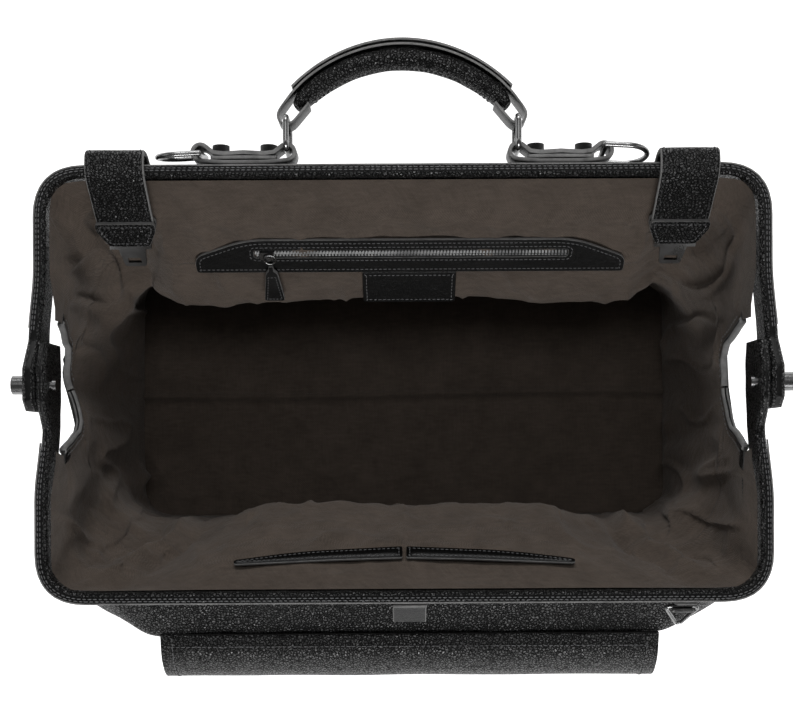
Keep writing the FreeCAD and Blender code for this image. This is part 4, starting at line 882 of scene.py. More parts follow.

# %% Leather walls
# %% [markdown]
# Each half of the shell is one hide from notch to notch. It hangs slack, so level cross-sections
# are rounded, and a slow random push makes it uneven.


def half_wall(heights, outline_at, counts, ease):
    """A wall from one notch round to the other, as a grid of points: rows go up, columns round."""
    rows = []
    for z in heights:
        corners = outline_at(z)
        pieces = []
        for (start, end), count in zip(zip(corners, corners[1:]), counts):
            t = np.linspace(0, 1, count, endpoint=False)[:, None]
            pieces.append(np.asarray(start) * (1 - t) + np.asarray(end) * t)
        row = np.concatenate(pieces + [np.asarray(corners[-1:])])
        kernel = np.exp(-0.5 * (np.arange(-12, 13) / (3.2 * ease)) ** 2)
        kernel /= kernel.sum()
        padded = np.concatenate([2 * row[:1] - row[12:0:-1], row, 2 * row[-1:] - row[-2:-14:-1]])
        row = np.stack([np.convolve(padded[:, axis], kernel, "valid") for axis in (0, 1)], 1)
        rows.append(np.column_stack([row, np.full(len(row), z)]))
    return np.asarray(rows)


def eased(z, heights, values, spread=5.0):
    """Values at heights joined by straight lines whose bends are rounded."""
    offsets = np.linspace(-2, 2, 9) * spread
    weights = np.exp(-0.5 * (offsets / spread) ** 2)
    low, high = heights[0], heights[-1]
    fade = min(1.0, (z - low) / (2 * spread + 1e-6), (high - z) / (2 * spread + 1e-6))
    return float(np.dot(weights, np.interp(z + offsets * fade, heights, values)) / weights.sum())


def back_outline(z):
    y = eased(z, [8.8, 75, 105, 143.6], [91.6, 85.6, 103.6, 125.0])
    corner = eased(z, [8.8, 75, 105, 143.6], [8, 12, 18, 24])
    x = shell_x(z)
    return [(x, notch_at(z)), (x, y - corner), (x - corner, y), (corner - x, y), (-x, y - corner), (-x, notch_at(z))]


def front_outline(z):
    levels = [8.8, 55, 95, 107, 129, 143.6]
    y = eased(z, levels, [91.6, 128, 150, 157, 120, 119], 3.0)
    middle = eased(z, levels, [182, 167, 162, 159, 187, 188], 3.0)
    corner = eased(z, levels, [83.6, 108, 126, 130, 116, 104], 3.0)
    x = shell_x(z)
    return [(x, -notch_at(z)), (x, -corner), (middle, -y), (-middle, -y), (-x, -corner), (-x, -notch_at(z))]


def make_shell(name, body, outline_at, counts, side, *replaced):
    heights = np.concatenate([np.linspace(8.9, 107.8, 34), np.linspace(108.4, 143.5, 22)])
    grid = half_wall(heights, outline_at, counts, 0.8)
    grid[..., 0] += side_slack(grid)
    if side < 0:
        grid = grid[:, ::-1]
    rise = np.clip((grid[..., 2] - 9) / 25, 0, 1) * np.clip((143.5 - grid[..., 2]) / 20, 0, 1)
    free = np.clip(np.abs(grid[..., 1]) / 30, 0.15, 1)
    normals = grid_normals(grid)
    push = wobble(grid, 46.0, 2.6, 1.0 + side) + wobble(grid, 19.0, 0.9, 3.0)
    outward = np.sign(np.sum(normals[..., :2] * grid[..., :2], -1).mean())
    push = np.maximum((push - 0.6) * rise * free, -0.9)
    grid = grid + normals * outward * push[..., None]
    if outward < 0:
        grid = grid[:, ::-1]
    made = hide(name, grid, 2.2, PEBBLED, DYED)
    rides_blend(made, body, (0, 0, 0.105), (0, 0, 0.143), "pebbled_leather", *replaced)


def rides_blend(made, body, start, end, slot, *replaced):
    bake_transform(made)
    if replaced:
        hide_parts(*replaced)
    return made


make_shell(
    "back_shell", "back_jaw", back_outline, [30, 10, 120, 10, 30], 1,
    "back_panel", "gusset_right_back", "gusset_left_back",
)
make_shell(
    "front_shell", "front_jaw", front_outline, [34, 16, 110, 16, 34], -1,
    "front_panel", "gusset_right_front", "gusset_left_front",
)

# %% Base
# %% [markdown]
# A flat leather bottom with a pale edge, its board, and a cloth floor with a crease along its middle.
base_loop = rounded_outline([(-188, -92, 14), (188, -92, 14), (188, 92, 14), (-188, 92, 14)], 4.0)
bottom = plate("bottom_leather", [base_loop], 2.4, Matrix.Translation((0, 0, 6.0)), PEBBLED, DYED)
rides(bottom, "bag_body", "pebbled_leather", "bottom_panel")
base_line = inset(base_loop, 4.0)
base_line = np.column_stack([base_line, np.full(len(base_line), 5.9)])
rides(
    stitches("base_stitches", [np.vstack([base_line, base_line[:1]])], 3.6, 2.6, 0.36, THREAD, 8),
    "bag_body", "smooth_leather",
)

x_line, y_line = np.linspace(-183.6, 183.6, 110), np.linspace(-83.4, 83.4, 120)
floor_x, floor_y = np.meshgrid(x_line, y_line)
floor_grid = np.stack([floor_x, floor_y, np.full_like(floor_x, 12.9)], -1)
ridge = 3.2 * np.exp(-((floor_grid[..., 1] - 1.5 - 1.5 * np.sin(floor_grid[..., 0] / 70)) / 2.2) ** 2)
groove = np.exp(-((floor_grid[..., 1] + 4.5 - 1.5 * np.sin(floor_grid[..., 0] / 70)) / 1.6) ** 2)
floor_grid[..., 2] -= 0.8 * groove
floor_grid[..., 2] += ridge + np.abs(wobble(floor_grid, 38.0, 1.6, 6.0)) + creases(floor_grid, 60.0, 1.6, 3.0)
floor_cloth = sheet("lining_floor_cloth", floor_grid, CLOTH)
rides(floor_cloth, "bag_body", "lining_cloth", "lining_floor")

# %% Lining
# %% [markdown]
# The cotton walls hang from inside the jaws and fold inward below them. Each half is one sheet from
# notch to notch.


def lining_back_outline(z):
    y = eased(z, [12.2, 80, 144, 158], [84, 58, 105.5, 116.4], 4.0)
    corner = eased(z, [12.2, 80, 144, 158], [10, 16, 12, 8], 4.0)
    x = lining_x(z)
    return [(x, notch_at(z)), (x, y - corner), (x - corner, y), (corner - x, y), (-x, y - corner), (-x, notch_at(z))]


def lining_front_outline(z):
    y = eased(z, [12.2, 88, 144, 158], [84, 72, 107.6, 116.4], 4.0)
    corner = eased(z, [12.2, 88, 144, 158], [12, 16, 14, 8], 5.0)
    x = lining_x(z)
    return [
        (x, -notch_at(z)), (x, corner * 0.8 - y), (x - corner, -y), (corner - x, -y), (-x, corner * 0.8 - y),
        (-x, -notch_at(z)),
    ]


# Cut sizes in metres: the wall's length and its two sides' round the mouth, with ease for the gathers,
# by the slant height from floor to jaw. The area leaves out the notch and the slanted ends.
BACK_CUT, BACK_AREA = (0.57, 0.18), 0.087
FRONT_CUT, FRONT_AREA = (0.65, 0.175), 0.090


def make_lining(name, body, outline_at, fold, side, cut, area, *replaced):
    heights = np.concatenate([np.linspace(12.4, 107.8, 56), np.linspace(108.4, 157.5, 30)])
    grid = half_wall(heights, outline_at, [40, 14, 190, 14, 40], 1.5)
    grid[..., 0] += side_slack(grid)
    hem = np.clip((157.5 - grid[..., 2]) / 22, 0, 1) * np.clip((grid[..., 2] - 12) / 14, 0, 1)
    edge = np.clip((np.abs(grid[..., 1]) - notch_at(grid[..., 2])) / 12, 0, 1)
    near_fold = np.exp(-((grid[..., 2] - fold) / 26.0) ** 2)
    far = np.abs(grid[..., 0])
    z, beyond = grid[..., 2], np.clip((np.abs(grid[..., 1]) - 25) / 40, 0, 1)
    if side < 0:
        place = far * 145 / np.interp(z, [12, 95, 158], [150, 146, 194])
        lap = np.interp(z, [12, 60, 90, 105, 150, 158], [0, 0.5, 1, 1, 0.35, 0]) * beyond
        grid[..., 1] -= lap * np.interp(place, [0, 88, 131, 145, 158, 175, 200], [0, 0, 20, 9, 19, 14, 3])
    else:
        lap = np.interp(z, [12, 60, 90, 140, 158], [0, 0.6, 1, 0.8, 0]) * beyond
        grid[..., 1] += lap * np.interp(far, [0, 150, 168, 182, 200], [0, 0, 16, 12, 0])
    flare = 3.0 * np.clip((np.abs(grid[..., 1]) - 45) / 20, 0, 1) * np.clip((z - 142) / 14, 0, 1)
    grid[..., 0] += np.sign(grid[..., 0]) * flare * np.clip((far - 150) / 40, 0, 1)
    grid[..., 1] += side * flare * np.clip((np.abs(grid[..., 1]) - 60) / 30, 0, 1)
    drape = wobble(grid, 62.0, 5.5, 2.0 + side, (1.0, 1.0, 0.5)) * near_fold
    crumple = wobble(grid, 24.0, 2.2, 7.0 + side, (1.0, 1.0, 0.6)) + wobble(grid, 10.0, 0.6, 8.0)
    folds = creases(grid, 46.0, 2.6, 4.0 + side, (1.0, 1.0, 0.7)) + creases(grid, 27.0, 1.3, 9.0, (1.0, 1.0, 1.0))
    ends = np.clip((far - 130) / 30, 0, 1)
    grid[..., 1] -= side * (drape + crumple + folds * 0.8) * hem * edge
    gathers = 3.0 + wobble(grid, 17.0, 5.0, 4.0, (1.0, 1.0, 0.3)) + creases(grid, 30.0, 4.0, 2.0, (1.0, 1.0, 0.5))
    calm = np.clip((np.abs(grid[..., 1]) - notch_at(grid[..., 2])) / 30, 0, 1)
    grid[..., 0] -= np.sign(grid[..., 0]) * (np.maximum(gathers, 0.5) * ends * calm + 0.6) * hem * edge
    if side > 0:
        grid = grid[:, ::-1]
    made = sheet(name, grid, CLOTH)
    slant = math.sqrt(0.5)
    start = (0, -side * 31.5 * slant * MM, (HINGE - 31.5 * slant) * MM)
    end = (0, side * 8 * slant * MM, (HINGE + 8 * slant) * MM)
    rides_blend(made, body, start, end, "lining_cloth", *replaced)
    return made


make_lining(
    "lining_back_cloth", "back_jaw", lining_back_outline, 80, 1, BACK_CUT, BACK_AREA,
    "lining_back", "lining_right_back", "lining_left_back",
)
make_lining(
    "lining_front_cloth", "front_jaw", lining_front_outline, 88, -1, FRONT_CUT, FRONT_AREA,
    "lining_front", "lining_right_front", "lining_left_front",
)

# %% Cut edges of the notches
# %% [markdown]
# Under each hinge the shell and the lining are bound together by a folded leather strip.


def make_notch_edge(name, side, sign_y):
    heights = np.linspace(104.5, 143.2, 26)
    y = sign_y * np.interp(heights, [104.5, 108.0, 108.6, 114, 144], [0.6, 14.0, 19.0, 26.6, 38.0])
    heights = np.where(heights < 108.2, 108.0, heights)
    x = side * (lining_x(heights) + 0.4)
    path = fillet(np.column_stack([x, y, heights]), 3.0, 1.5)
    path[:, 0] += side_slack(path[None])[0] + wobble(path[None], 12.0, 0.7, 3.0)[0]
    binding = sweep(name, path, (1, 0, 0), rounded_box(4.4, 4.2, 1.6, 3), [SMOOTH, RAW], box_slots(3, 1, 0, 0, 1, 0))
    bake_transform(binding)
    row = path + np.array([-side * 2.6, sign_y * 3.4, 0.0])
    sewn = stitches(name + "_stitches", [row[2:-2]], 3.2, 2.3, 0.32, PALE_THREAD, 9)
    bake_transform(sewn)


for side, word in ((1, "right"), (-1, "left")):
    make_notch_edge(f"notch_{word}_back", side, 1)
    make_notch_edge(f"notch_{word}_front", side, -1)

# %% Handle
# %% [markdown]
# The grip is a stuffed tube of pebbled leather, thinner at its ends. A flat strap runs along its
# outer side, goes round each oval ring and comes back under the grip's end.
LOOP_X, RING_FAR = 67.0, 155.7
GRIP_RISE = 34.6
ARCH = (LOOP_X**2 + GRIP_RISE**2) / (2 * GRIP_RISE)
ARCH_Y = RING_FAR + GRIP_RISE - ARCH
LOOP_TURN = math.degrees(math.asin(LOOP_X / ARCH))


def on_arch(degrees, distance):
    angle = np.radians(degrees)
    return np.stack(
        [distance * np.sin(angle), ARCH_Y + distance * np.cos(angle), np.full_like(angle, MIDDLE)], -1
    )


angles = np.linspace(6.0 - LOOP_TURN, LOOP_TURN - 6.0, 100)
grip_path = on_arch(angles, np.full(100, ARCH))
taper = 1 - 0.12 * np.clip((np.abs(angles) - 30) / 15, 0, 1)
taper = taper - 0.45 * np.clip((np.abs(angles) + 12 - LOOP_TURN) / 6, 0, 1) ** 2
ring = np.linspace(0, 2 * math.pi, 26, endpoint=False)
oval = np.stack([6.0 * np.cos(ring), 9.0 * np.sin(ring)], 1)
grip_sections = oval[None] * np.stack([taper, 0.5 + 0.5 * taper], -1)[:, None]


def knead(rings):
    middle = grip_path[:, None]
    away = unit(rings - middle)
    return rings + away * wobble(rings, 11.0, 0.32, 3.0)[..., None]


grip = sweep("handle_grip_leather", grip_path, Z, grip_sections, [PEBBLED, RAW], shape=knead)
rides(grip, "handle", "pebbled_leather", "handle_cover")


def calm(path, rounds):
    """Rounds off a line's bends."""
    path = path.copy()
    for _ in range(rounds):
        path[1:-1] = 0.25 * path[:-2] + 0.5 * path[1:-1] + 0.25 * path[2:]
    return path


def strap_round_loops(distance, loop):
    """The strap's middle line: under the grip's end, round a ring, along the arch and back."""
    tip = on_arch(np.array([9.0 - LOOP_TURN]), np.array([ARCH]))[0]
    centre = np.array([-LOOP_X, RING_FAR, MIDDLE])
    toward = unit(tip - centre)
    inner_side = np.array([toward[1], -toward[0], 0.0])
    path = [tip + inner_side * loop + toward, tip + inner_side * loop - toward * 4]
    base = math.atan2(inner_side[1], inner_side[0])
    for t in np.linspace(0, -math.pi, 24):
        path.append(centre + loop * np.array([math.cos(base + t), math.sin(base + t), 0.0]))
    path.append(tip - inner_side * (loop + 0.8) - toward)
    arch = on_arch(np.linspace(13.5 - LOOP_TURN, 0, 40), np.linspace(distance - 0.6, distance, 40))
    half = np.vstack([path, arch])
    other = half[::-1][1:] * np.array([-1.0, 1.0, 1.0])
    return calm(resample(np.vstack([half, other]), 0.9), 10)


strap_path = strap_round_loops(ARCH + 6.9, 5.3)
strap_slots = box_slots(2, 1, 0, 1, 0, 1)
strap = sweep("handle_strap_inner", strap_path, Z, rounded_box(1.3, 15.6, 0.4, 2), [SMOOTH, RAW], strap_slots)
slack_turns = np.linspace(10.0 - LOOP_TURN, LOOP_TURN - 10.0, 90)
slack = 8.5 + 1.1 * np.cos(np.radians(slack_turns * 1.9)) ** 2
outer_path = on_arch(slack_turns, ARCH + slack)
outer = sweep("handle_strap_outer", outer_path, Z, rounded_box(1.3, 15.6, 0.4, 2), [SMOOTH, RAW], strap_slots)
rides(join("handle_strap_leather", [strap, outer]), "handle", "smooth_leather", "handle_strap")
run = on_arch(slack_turns[3:-3], ARCH + slack[3:-3] + 0.75)
grip_rows = [run + Z * 5.9, run - Z * 5.9]
rides(stitches("handle_stitches", grip_rows, 3.0, 2.2, 0.34, PALE_THREAD, 11), "handle", "smooth_leather")
welt_line = on_arch(np.linspace(-41, 41, 80), np.full(80, ARCH - 6.0))
rides(stitches("grip_seam", [welt_line], 2.8, 2.0, 0.34, THREAD, 12), "handle", "smooth_leather")

# %% Handle tabs
# %% [markdown]
# Each tab is one long strip folded to a flat loop at both ends, with a filler between its layers.


def make_tab(word, side):
    centre = np.array([side * 92.0, JAW_REACH + 0.3, MIDDLE])
    lower, upper, loop_y, loop, reach = 1.6, 6.7, 7.4, 4.6, 25.0
    points = [(-12, lower), (12, lower), (19, lower + 0.5)]
    points += [(reach + loop * math.cos(a), loop_y + loop * math.sin(a)) for a in np.linspace(-1.5, 2.4, 18)]
    points += [(17.6, 7.4), (12, upper), (0, upper + 0.7), (-12, upper), (-17.6, 7.4)]
    points += [(-reach - loop * math.cos(a), loop_y + loop * math.sin(a)) for a in np.linspace(2.4, -1.5, 18)]
    points += [(-19, lower + 0.5), (-12, lower)]
    path = resample(np.asarray([(x, y, 0.0) for x, y in points], float), 1.1)[:-1] + centre
    made = sweep(
        f"tab_{word}_strip", path, Z, rounded_box(2.3, 15.6, 0.6, 2), [SMOOTH, RAW],
        box_slots(2, 1, 0, 1, 0, 1), closed=True,
    )
    filler_line = np.asarray([(x, 4.15 + 0.3 * math.cos(x / 12), 0.0) for x in np.linspace(-19, 19, 24)]) + centre
    filler = sweep(
        f"tab_{word}_filler", filler_line, Z, rounded_box(2.2, 15.0, 0.5, 2), [SMOOTH, RAW],
        box_slots(2, 1, 0, 1, 0, 1),
    )
    rides(join(f"tab_{word}_leather", [made, filler]), "back_jaw", "smooth_leather", f"handle_tab_{word}")
    rows = [np.asarray([(x, 8.1, rise) for x in np.linspace(-16, 16, 20)]) + centre for rise in (-5.6, 5.6)]
    rides(stitches(f"tab_{word}_stitches", rows, 2.8, 2.0, 0.32, PALE_THREAD, 14), "back_jaw", "smooth_leather")


for word, side in (("left", -1), ("right", 1)):
    make_tab(word, side)

# %% Closing straps
# %% [markdown]
# Each strap rises behind the back jaw, arches over it and hangs inside. A wider leather cover with
# a pale border ends it and holds the metal tongue.
DOWN = np.array([0.0, -0.5904, -0.8071])
OFF = np.array([0.0, -0.8071, 0.5904])
PIVOT = np.array([0.0, 115.0, 166.0])


STRAP_X, STRAP_HALF = 165.0, 17.0


def make_closing_strap(word, side):
    x = side * STRAP_X
    profile = [(128.7, 137.5), (128.7, 151.0), (133.6, 160.0), (133.8, 168.2), (124.0, 169.4), (117.4, 166.2)]
    points = [np.array([x, y, z]) for y, z in profile]
    points.append(PIVOT + np.array([x, 0, 0]) + DOWN * 30)
    path = fillet(points, [6, 5, 6, 6, 9], 1.2)

    def cup(rings):
        across = (rings[..., 0] - x) / STRAP_HALF
        rings[..., 2] -= 0.9 * across**2 * np.clip((rings[..., 2] - 150) / 12, 0, 1)
        return rings + wobble(rings, 16.0, 0.3, 3.0 + side)[..., None] * np.array([0, 0.6, 0.6])

    wide = []
    count = 14
    right = [(1.35, v) for v in np.linspace(-16.3, 16.3, count)]
    left = [(-1.35, v) for v in np.linspace(16.3, -16.3, count)]
    for point in right + [(0.7, 17.0), (-0.7, 17.0)] + left + [(-0.7, -17.0), (0.7, -17.0)]:
        wide.append(point)
    slots = [0] * (count - 1) + [1, 1, 1] + [0] * (count - 1) + [1, 1, 1]
    strap = sweep(f"strap_{word}_leather", path, (1, 0, 0), np.asarray(wide), [PEBBLED, RAW], slots, shape=cup)
    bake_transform(strap)
    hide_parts(f"strap_root_{word}", f"strap_tail_{word}")
    tangent = unit(np.gradient(path, axis=0))
    out = unit(np.cross(tangent, np.array([1.0, 0, 0])))
    out = out * np.sign(out[len(out) // 2, 2] or 1)
    rows = [path + out * 1.5 + np.array([edge, 0, 0]) for edge in (-14.6, 14.6)]
    rows = [row[3:-3] - Z * 0.75 * np.clip((row[3:-3, 2:3] - 150) / 12, 0, 1) for row in rows]
    sewn = stitches(f"strap_{word}_stitches", rows, 3.2, 2.3, 0.34, THREAD, 21)
    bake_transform(sewn)

    matrix = Matrix((
        (1, 0, 0, x), (0, 0.5904, -0.8071, PIVOT[1]), (0, 0.8071, 0.5904, PIVOT[2]), (0, 0, 0, 1),
    ))
    shape = rounded_outline([
        (-17.8, -27.5, 3), (-17.8, -33, 5), (-12.2, -45.2, 3), (12.2, -45.2, 3), (17.8, -33, 5), (17.8, -27.5, 3),
    ], 1.0)
    top = plate(f"strap_{word}_end_top", [shape], 2.6, matrix, PEBBLED, RAW, 0.9)
    under = plate(f"strap_{word}_end_under", [shape], 2.4, matrix, PEBBLED, RAW, -3.3)
    for item in (top, under):
        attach(item, f"strap_{word}")
    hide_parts(f"strap_end_{word}")
    line = inset(shape, 2.4)
    line = [tuple(matrix @ Vector((px, py, 3.6))) for px, py in line]
    rides(
        stitches(f"strap_{word}_end_stitches", [np.asarray(line + line[:1])], 2.6, 1.9, 0.32, PALE_THREAD, 22),
        f"strap_{word}", "smooth_leather",
    )
    keeper = [matrix @ Vector((px, -46.6, pz)) for px, pz in ((-12.4, 0.0), (12.4, 0.0))]
    keeper_path = resample(np.asarray([tuple(k) for k in keeper]), 2.0)
    bar = sweep(f"strap_{word}_bar", keeper_path, tuple(OFF), rounded_box(3.4, 5.4, 1.1, 3), [GUNMETAL])
    rides(bar, f"strap_{word}", "gunmetal")


for word, side in (("left", -1), ("right", 1)):
    make_closing_strap(word, side)

# %% Zip pocket
# %% [markdown]
# A leather facing with a slot lies on the back lining. In the slot are a woven tape, two rows of
# teeth that lock, the slider with its ring, and a leather pull.
WALL = Matrix(((1, 0, 0, 0), (0, 0.5904, -0.8071, 115.0), (0, 0.8071, 0.5904, 158.0), (0, 0, 0, 1)))


def on_wall(x, y, lift=0.0):
    return tuple(WALL @ Vector((x, y, lift)))


facing_loop = rounded_outline([
    (-129, -67, 2), (138, -67, 2), (138, -55, 7), (105, -40, 12), (-96, -40, 12), (-129, -54, 9),
], 1.5)
slot_loop = rounded_outline([(-92, -54.5, 1), (102, -54.5, 1), (102, -48, 1), (-92, -48, 1)], 2.0)
facing = plate("zip_facing_leather", [facing_loop, slot_loop], 1.7, WALL, SMOOTH, RAW, 0.7)
rides(facing, "back_jaw", "smooth_leather", "zip_facing")
patch_loop = rounded_outline([(-25.5, -94, 2), (33.5, -94, 2), (33.5, -67.5, 1), (-25.5, -67.5, 1)], 1.5)
patch = plate("blank_patch_leather", [patch_loop], 1.5, WALL, SMOOTH, SMOOTH, 0.9)
rides(patch, "back_jaw", "smooth_leather", "blank_patch")
facing_rows = []
for loop, amount in ((facing_loop, 2.6), (slot_loop, -2.2), (patch_loop, 2.4)):
    line = [on_wall(px, py, 2.5) for px, py in inset(loop, amount)]
    facing_rows.append(np.asarray(line + line[:1]))
rides(stitches("facing_stitches", facing_rows, 2.9, 2.1, 0.3, PALE_THREAD, 31), "back_jaw", "smooth_leather")

tape_points = [[on_wall(x, y, 0.95) for x in np.linspace(-91.6, 101.6, 60)] for y in np.linspace(-54.2, -48.3, 6)]
tape = sheet("zip_tape_cloth", np.asarray(tape_points), TAPE)
rides(tape, "back_jaw", "zip_tape", "zip_tape")


def tooth_nodes():
    """Geometry Nodes that set one tooth at each point of a line, each a little uneven in size."""
    group = bpy.data.node_groups.new("Zip teeth", "GeometryNodeTree")
    face = group.interface
    for name, kind, value in (
        ("Line", "NodeSocketGeometry", None), ("Pitch", "NodeSocketFloat", 0.0015),
        ("Tooth Size", "NodeSocketVector", None), ("Seed", "NodeSocketInt", 1),
        ("Wear", "NodeSocketFloat", 0.06), ("Metal", "NodeSocketMaterial", None),
    ):
        socket = face.new_socket(name, in_out="INPUT", socket_type=kind)
        if value is not None:
            socket.default_value = value
    face.new_socket("Teeth", in_out="OUTPUT", socket_type="NodeSocketGeometry")
    add, link = group.nodes.new, group.links.new
    entry, leave = add("NodeGroupInput"), add("NodeGroupOutput")
    curve, points = add("GeometryNodeMeshToCurve"), add("GeometryNodeCurveToPoints")
    cube = add("GeometryNodeMeshCube")
    points.mode = "LENGTH"
    copies, real = add("GeometryNodeInstanceOnPoints"), add("GeometryNodeRealizeInstances")
    paint = add("GeometryNodeSetMaterial")
    uneven, low, high = add("FunctionNodeRandomValue"), add("ShaderNodeMath"), add("ShaderNodeMath")
    low.operation, high.operation = "SUBTRACT", "ADD"
    low.inputs[0].default_value = high.inputs[0].default_value = 1.0
    link(entry.outputs["Wear"], low.inputs[1])
    link(entry.outputs["Wear"], high.inputs[1])
    floats = [s for s in uneven.inputs if s.type == "VALUE"]
    link(low.outputs[0], floats[0])
    link(high.outputs[0], floats[1])
    link(entry.outputs["Seed"], uneven.inputs["Seed"])
    link(entry.outputs["Line"], curve.inputs[0])
    link(curve.outputs[0], points.inputs["Curve"])
    link(entry.outputs["Pitch"], points.inputs["Length"])
    link(entry.outputs["Tooth Size"], cube.inputs["Size"])
    link(points.outputs["Points"], copies.inputs["Points"])
    link(points.outputs["Rotation"], copies.inputs["Rotation"])
    link(cube.outputs["Mesh"], copies.inputs["Instance"])
    link(next(s for s in uneven.outputs if s.type == "VALUE"), copies.inputs["Scale"])
    link(copies.outputs[0], real.inputs[0])
    link(real.outputs[0], paint.inputs["Geometry"])
    link(entry.outputs["Metal"], paint.inputs["Material"])
    link(paint.outputs[0], leave.inputs[0])
    return group


TEETH = tooth_nodes()
tooth_lines, tooth_edges = [], []
for row, start in ((-50.45, -90.6), (-52.05, -89.6)):
    base = len(tooth_lines)
    tooth_lines += [on_wall(x, row, 1.75) for x in np.linspace(start, 100.4, 40)]
    tooth_edges += [(base + i, base + i + 1) for i in range(39)]
tooth_mesh = bpy.data.meshes.new("teeth_line")
tooth_mesh.from_pydata((np.asarray(tooth_lines) * MM).tolist(), tooth_edges, [])
tooth_line = bpy.data.objects.new("zip_teeth_metal", tooth_mesh)
bpy.context.collection.objects.link(tooth_line)
teeth = grown(
    tooth_line, TEETH, {"Pitch": 2.0 * MM, "Tooth Size": (2.4 * MM, 1.5 * MM, 1.1 * MM), "Seed": 5, "Metal": GUNMETAL}
)
rides(teeth, "back_jaw", "gunmetal", "zip_teeth")

pull_x, bore_y, lift = -81.9, -59.65, 5.6
pull_loop = rounded_outline([
    (pull_x - 6.5, bore_y - 28, 2), (pull_x + 6.5, bore_y - 28, 2), (pull_x + 3.6, bore_y - 4.2, 1.5),
    (pull_x + 1.4, bore_y - 2.2, 0.8), (pull_x + 1.4, bore_y + 1.8, 0.8), (pull_x - 1.4, bore_y + 1.8, 0.8),
    (pull_x - 1.4, bore_y - 2.2, 0.8), (pull_x - 3.6, bore_y - 4.2, 1.5),
], 0.9)
pull = plate("zip_pull_leather", [pull_loop], 2.6, WALL, SMOOTH, RAW, lift - 1.3)
rides(pull, "zip_pull", "smooth_leather", "zip_pull")
line = [on_wall(px, py, lift + 1.4) for px, py in inset(pull_loop, 1.7) if py < bore_y - 7]
rides(
    stitches("zip_pull_stitches", [np.asarray(line)], 2.2, 1.6, 0.24, PALE_THREAD, 33), "zip_pull", "smooth_leather"
)

# %% Pockets behind the lining
# %% [markdown]
# Two cloth bags hang behind the lining. On the front wall, a pair of welts borders their mouths.


def pouch(name, x_low, x_high, y_low, y_high, depth, matrix, body, node):
    """A flat cloth bag, a little fuller in its middle."""
    xs, ys = np.linspace(x_low, x_high, 44), np.linspace(y_low, y_high, 16)
    gx, gy = np.meshgrid(xs, ys)
    fill = np.clip(np.minimum(gx - x_low, x_high - gx) / 20, 0, 1)
    fill = fill * np.clip(np.minimum(gy - y_low, y_high - gy) / 12, 0, 1)
    grid = np.stack([gx, gy, depth - 0.9 * fill - 0.2], -1)
    grid[..., 2] += wobble(grid, 18.0, 0.4, 2.0) * fill
    turn = np.array(matrix)
    grid = grid @ turn[:3, :3].T + turn[:3, 3]
    made = sheet(name, grid, CLOTH)
    rides(made, body, "lining_cloth", node)


FRONT_TURN = math.atan(70.0 / 43.0)
front_sin, front_cos = math.sin(FRONT_TURN), math.cos(FRONT_TURN)
FRONT_WALL = Matrix((
    (1, 0, 0, 0), (0, front_cos, front_sin, -115.0), (0, -front_sin, front_cos, 158.0), (0, 0, 0, 1),
))
pouch("zip_pouch_cloth", -101, 111, -91, -43, -2.4, WALL, "back_jaw", "zip_pocket_bag")
pouch("slip_pouch_cloth", -100, 100, 21, 76, -2.4, FRONT_WALL, "front_jaw", "slip_pocket_bag")

welts, welt_rows = [], []
for side in (-1, 1):
    loop = rounded_outline([
        (side * 1.2, 20.5, 1), (side * 40, 19.0, 12), (side * 101, 14.5, 3), (side * 101.5, 18.5, 2),
        (side * 62, 27.0, 18), (side * 1.2, 31.5, 1),
    ], 1.5)
    loop = loop if side > 0 else loop[::-1]
    welts.append(plate(f"welt_{side}", [loop], 1.6, FRONT_WALL, SMOOTH, RAW, 0.8))
    line = [tuple(FRONT_WALL @ Vector((px, py, 2.6))) for px, py in inset(loop, 2.0)]
    welt_rows.append(np.asarray(line + line[:1]))
for item in welts:
    item.modifiers.clear()
rides(join("slip_welts_leather", welts), "front_jaw", "smooth_leather", "slip_welts")
rides(stitches("welt_stitches", welt_rows, 2.8, 2.0, 0.3, PALE_THREAD, 35), "front_jaw", "smooth_leather")

# %% Front pocket and its flap
# %% [markdown]
# The front pocket stands out from the wall. Its long flap bends over the top on one line and rests
# on a snap.


def pocket_grid():
    heights = np.linspace(16.2, 97.6, 34)
    rows = []
    for z in heights:
        wall_y = np.interp(z, [16, 24, 50, 80, 98], [98.4, 105, 125.6, 143.3, 153.4])
        front_y = eased(z, [16, 24, 53, 80, 98], [103, 127, 179, 179, 167], 3.0)
        corners = [(157, -wall_y), (157, -front_y), (-151, -front_y), (-151, -wall_y)]
        path = fillet([np.array([*c, z]) for c in corners], 12, 1.0)
        run = np.linspace(0, len(path) - 1, 150)
        rows.append(np.stack([np.interp(run, np.arange(len(path)), path[:, k]) for k in range(3)], 1))
    return np.asarray(rows)


pocket = pocket_grid()
pocket[..., 1] += wobble(pocket, 40.0, 1.6, 3.0) * np.clip((pocket[..., 2] - 18) / 20, 0, 1)
pocket_normals = grid_normals(pocket)
if pocket_normals[17, 75, 1] > 0:
    pocket = pocket[:, ::-1]
pocket_leather = hide("front_pocket_leather", pocket, 2.2, PEBBLED, DYED)
rides(pocket_leather, "bag_body", "pebbled_leather", "front_pocket")

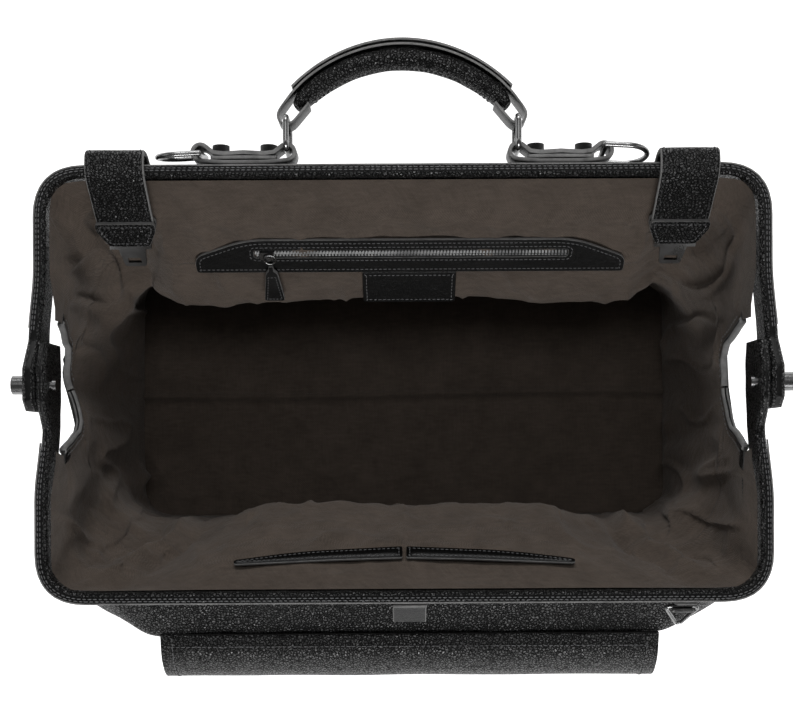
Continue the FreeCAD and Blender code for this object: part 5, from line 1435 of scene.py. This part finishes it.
lid_line = fillet(
    [(0, -153.0, 110.6), (0, -168.5, 107.0), (0, -182.0, 92.5), (0, -185.4, 75.5), (0, -186.0, 45.6)], [8, 9, 12], 1.6
)
lid_x = np.linspace(-152.5, 158.5, 130)
lid = np.repeat(lid_line[:, None], len(lid_x), 1)
lid[..., 0] = lid_x[None]
droop = np.clip((109 - lid[..., 2]) / 30, 0, 1)
lid[..., 1] += wobble(lid, 52.0, 1.5, 6.0, (1, 0.4, 0.4)) * droop * 0.7
lid[..., 2] += wobble(lid, 60.0, 1.2, 8.0) * droop
lid[..., 0] += np.sign(lid_x)[None] * 0.6 * droop
if grid_normals(lid)[20, 60, 1] > 0:
    lid = lid[:, ::-1]
flap = hide("pocket_flap_leather", lid, 2.6, PEBBLED, DYED)
rides(flap, "pocket_flap", "pebbled_leather", "pocket_flap")
out = grid_normals(lid)
raised = lid + out * 0.15
border = np.vstack([raised[2:-3, 3], raised[-3, 3:-3], raised[2:-3, -4][::-1]])
crown = lid[5, 3:-3] + out[5, 3:-3] * 0.15
rides(stitches("flap_stitches", [border, crown], 3.3, 2.4, 0.36, PALE_THREAD, 41), "pocket_flap", "smooth_leather")

# %% Small tabs on the front jaw
# %% [markdown]
# A bare tab hangs from the middle of the jaw, and a narrow one at its right end holds a wire link.
tab_line = fillet([(3, -128.6, 160.0), (3, -128.8, 146.0), (3, -141.4, 131.2)], [5], 1.2)
front_tab = sweep(
    "front_tab_leather", tab_line, (1, 0, 0), rounded_box(2.3, 20.0, 0.6, 2), [SMOOTH, RAW],
    box_slots(2, 1, 0, 1, 0, 1),
)
rides(front_tab, "front_jaw", "smooth_leather", "front_tab")
tab_rows = [tab_line[2:-2] + np.array([edge, -1.25, -0.3]) for edge in (-7.6, 7.6)]
rides(stitches("front_tab_stitches", tab_rows, 2.6, 1.9, 0.3, PALE_THREAD, 43), "front_jaw", "smooth_leather")
link_points = [(164, -128.5, 158.8), (164, -128.5, 151.5)]
link_points += [(164, -131.3 + 2.9 * math.cos(a), 148 + 2.9 * math.sin(a)) for a in np.linspace(0.2, -4.2, 14)]
link_tab = sweep(
    "side_ring_tab_leather", resample(np.asarray(link_points), 0.7), (1, 0, 0), rounded_box(1.9, 12.0, 0.5, 2),
    [SMOOTH, RAW], box_slots(2, 1, 0, 1, 0, 1),
)
rides(link_tab, "front_jaw", "smooth_leather", "side_ring_tab")

# %% Metal and hidden pieces
# %% [markdown]
# The metal pieces keep the frame's own shapes; the gunmetal pieces and the bolts get rounded arrises.
FINISHES = {
    GUNMETAL: [
        "base_feet", "hinge_pins", "strap_tongue_left", "strap_tongue_right", "catch_left", "catch_right",
        "catch_button_left", "catch_button_right", "zip_slider", "zip_pull_ring", "snap_base", "snap_cap",
    ],
    BRIGHT: ["handle_ring_left", "handle_ring_right", "d_ring_left", "d_ring_right", "side_ring"],
    BOLT: ["tab_bolts"], STEEL: ["back_jaw_bar", "front_jaw_bar"], BOARD: ["base_board"], CORE: ["handle_core"],
}
for material, names in FINISHES.items():
    for name in names:
        item = nodes[name]
        item.data.materials.clear()
        item.data.materials.append(material)
        if material in (GUNMETAL, BOLT):
            bevel = item.modifiers.new("arris", "BEVEL")
            bevel.width, bevel.segments, bevel.limit_method, bevel.angle_limit = 0.35 * MM, 3, "ANGLE", 0.7

# %% Floor
# %% [markdown]
# A wide pale sheet under the feet, bright enough to read as white while it keeps the shadow.
FAR, GROUND = 6000, -0.3
corners = [(-FAR, -FAR, GROUND), (FAR, -FAR, GROUND), (FAR, FAR, GROUND), (-FAR, FAR, GROUND)]
floor = commit("floor", corners, [(0, 1, 2, 3)], [FLOOR])
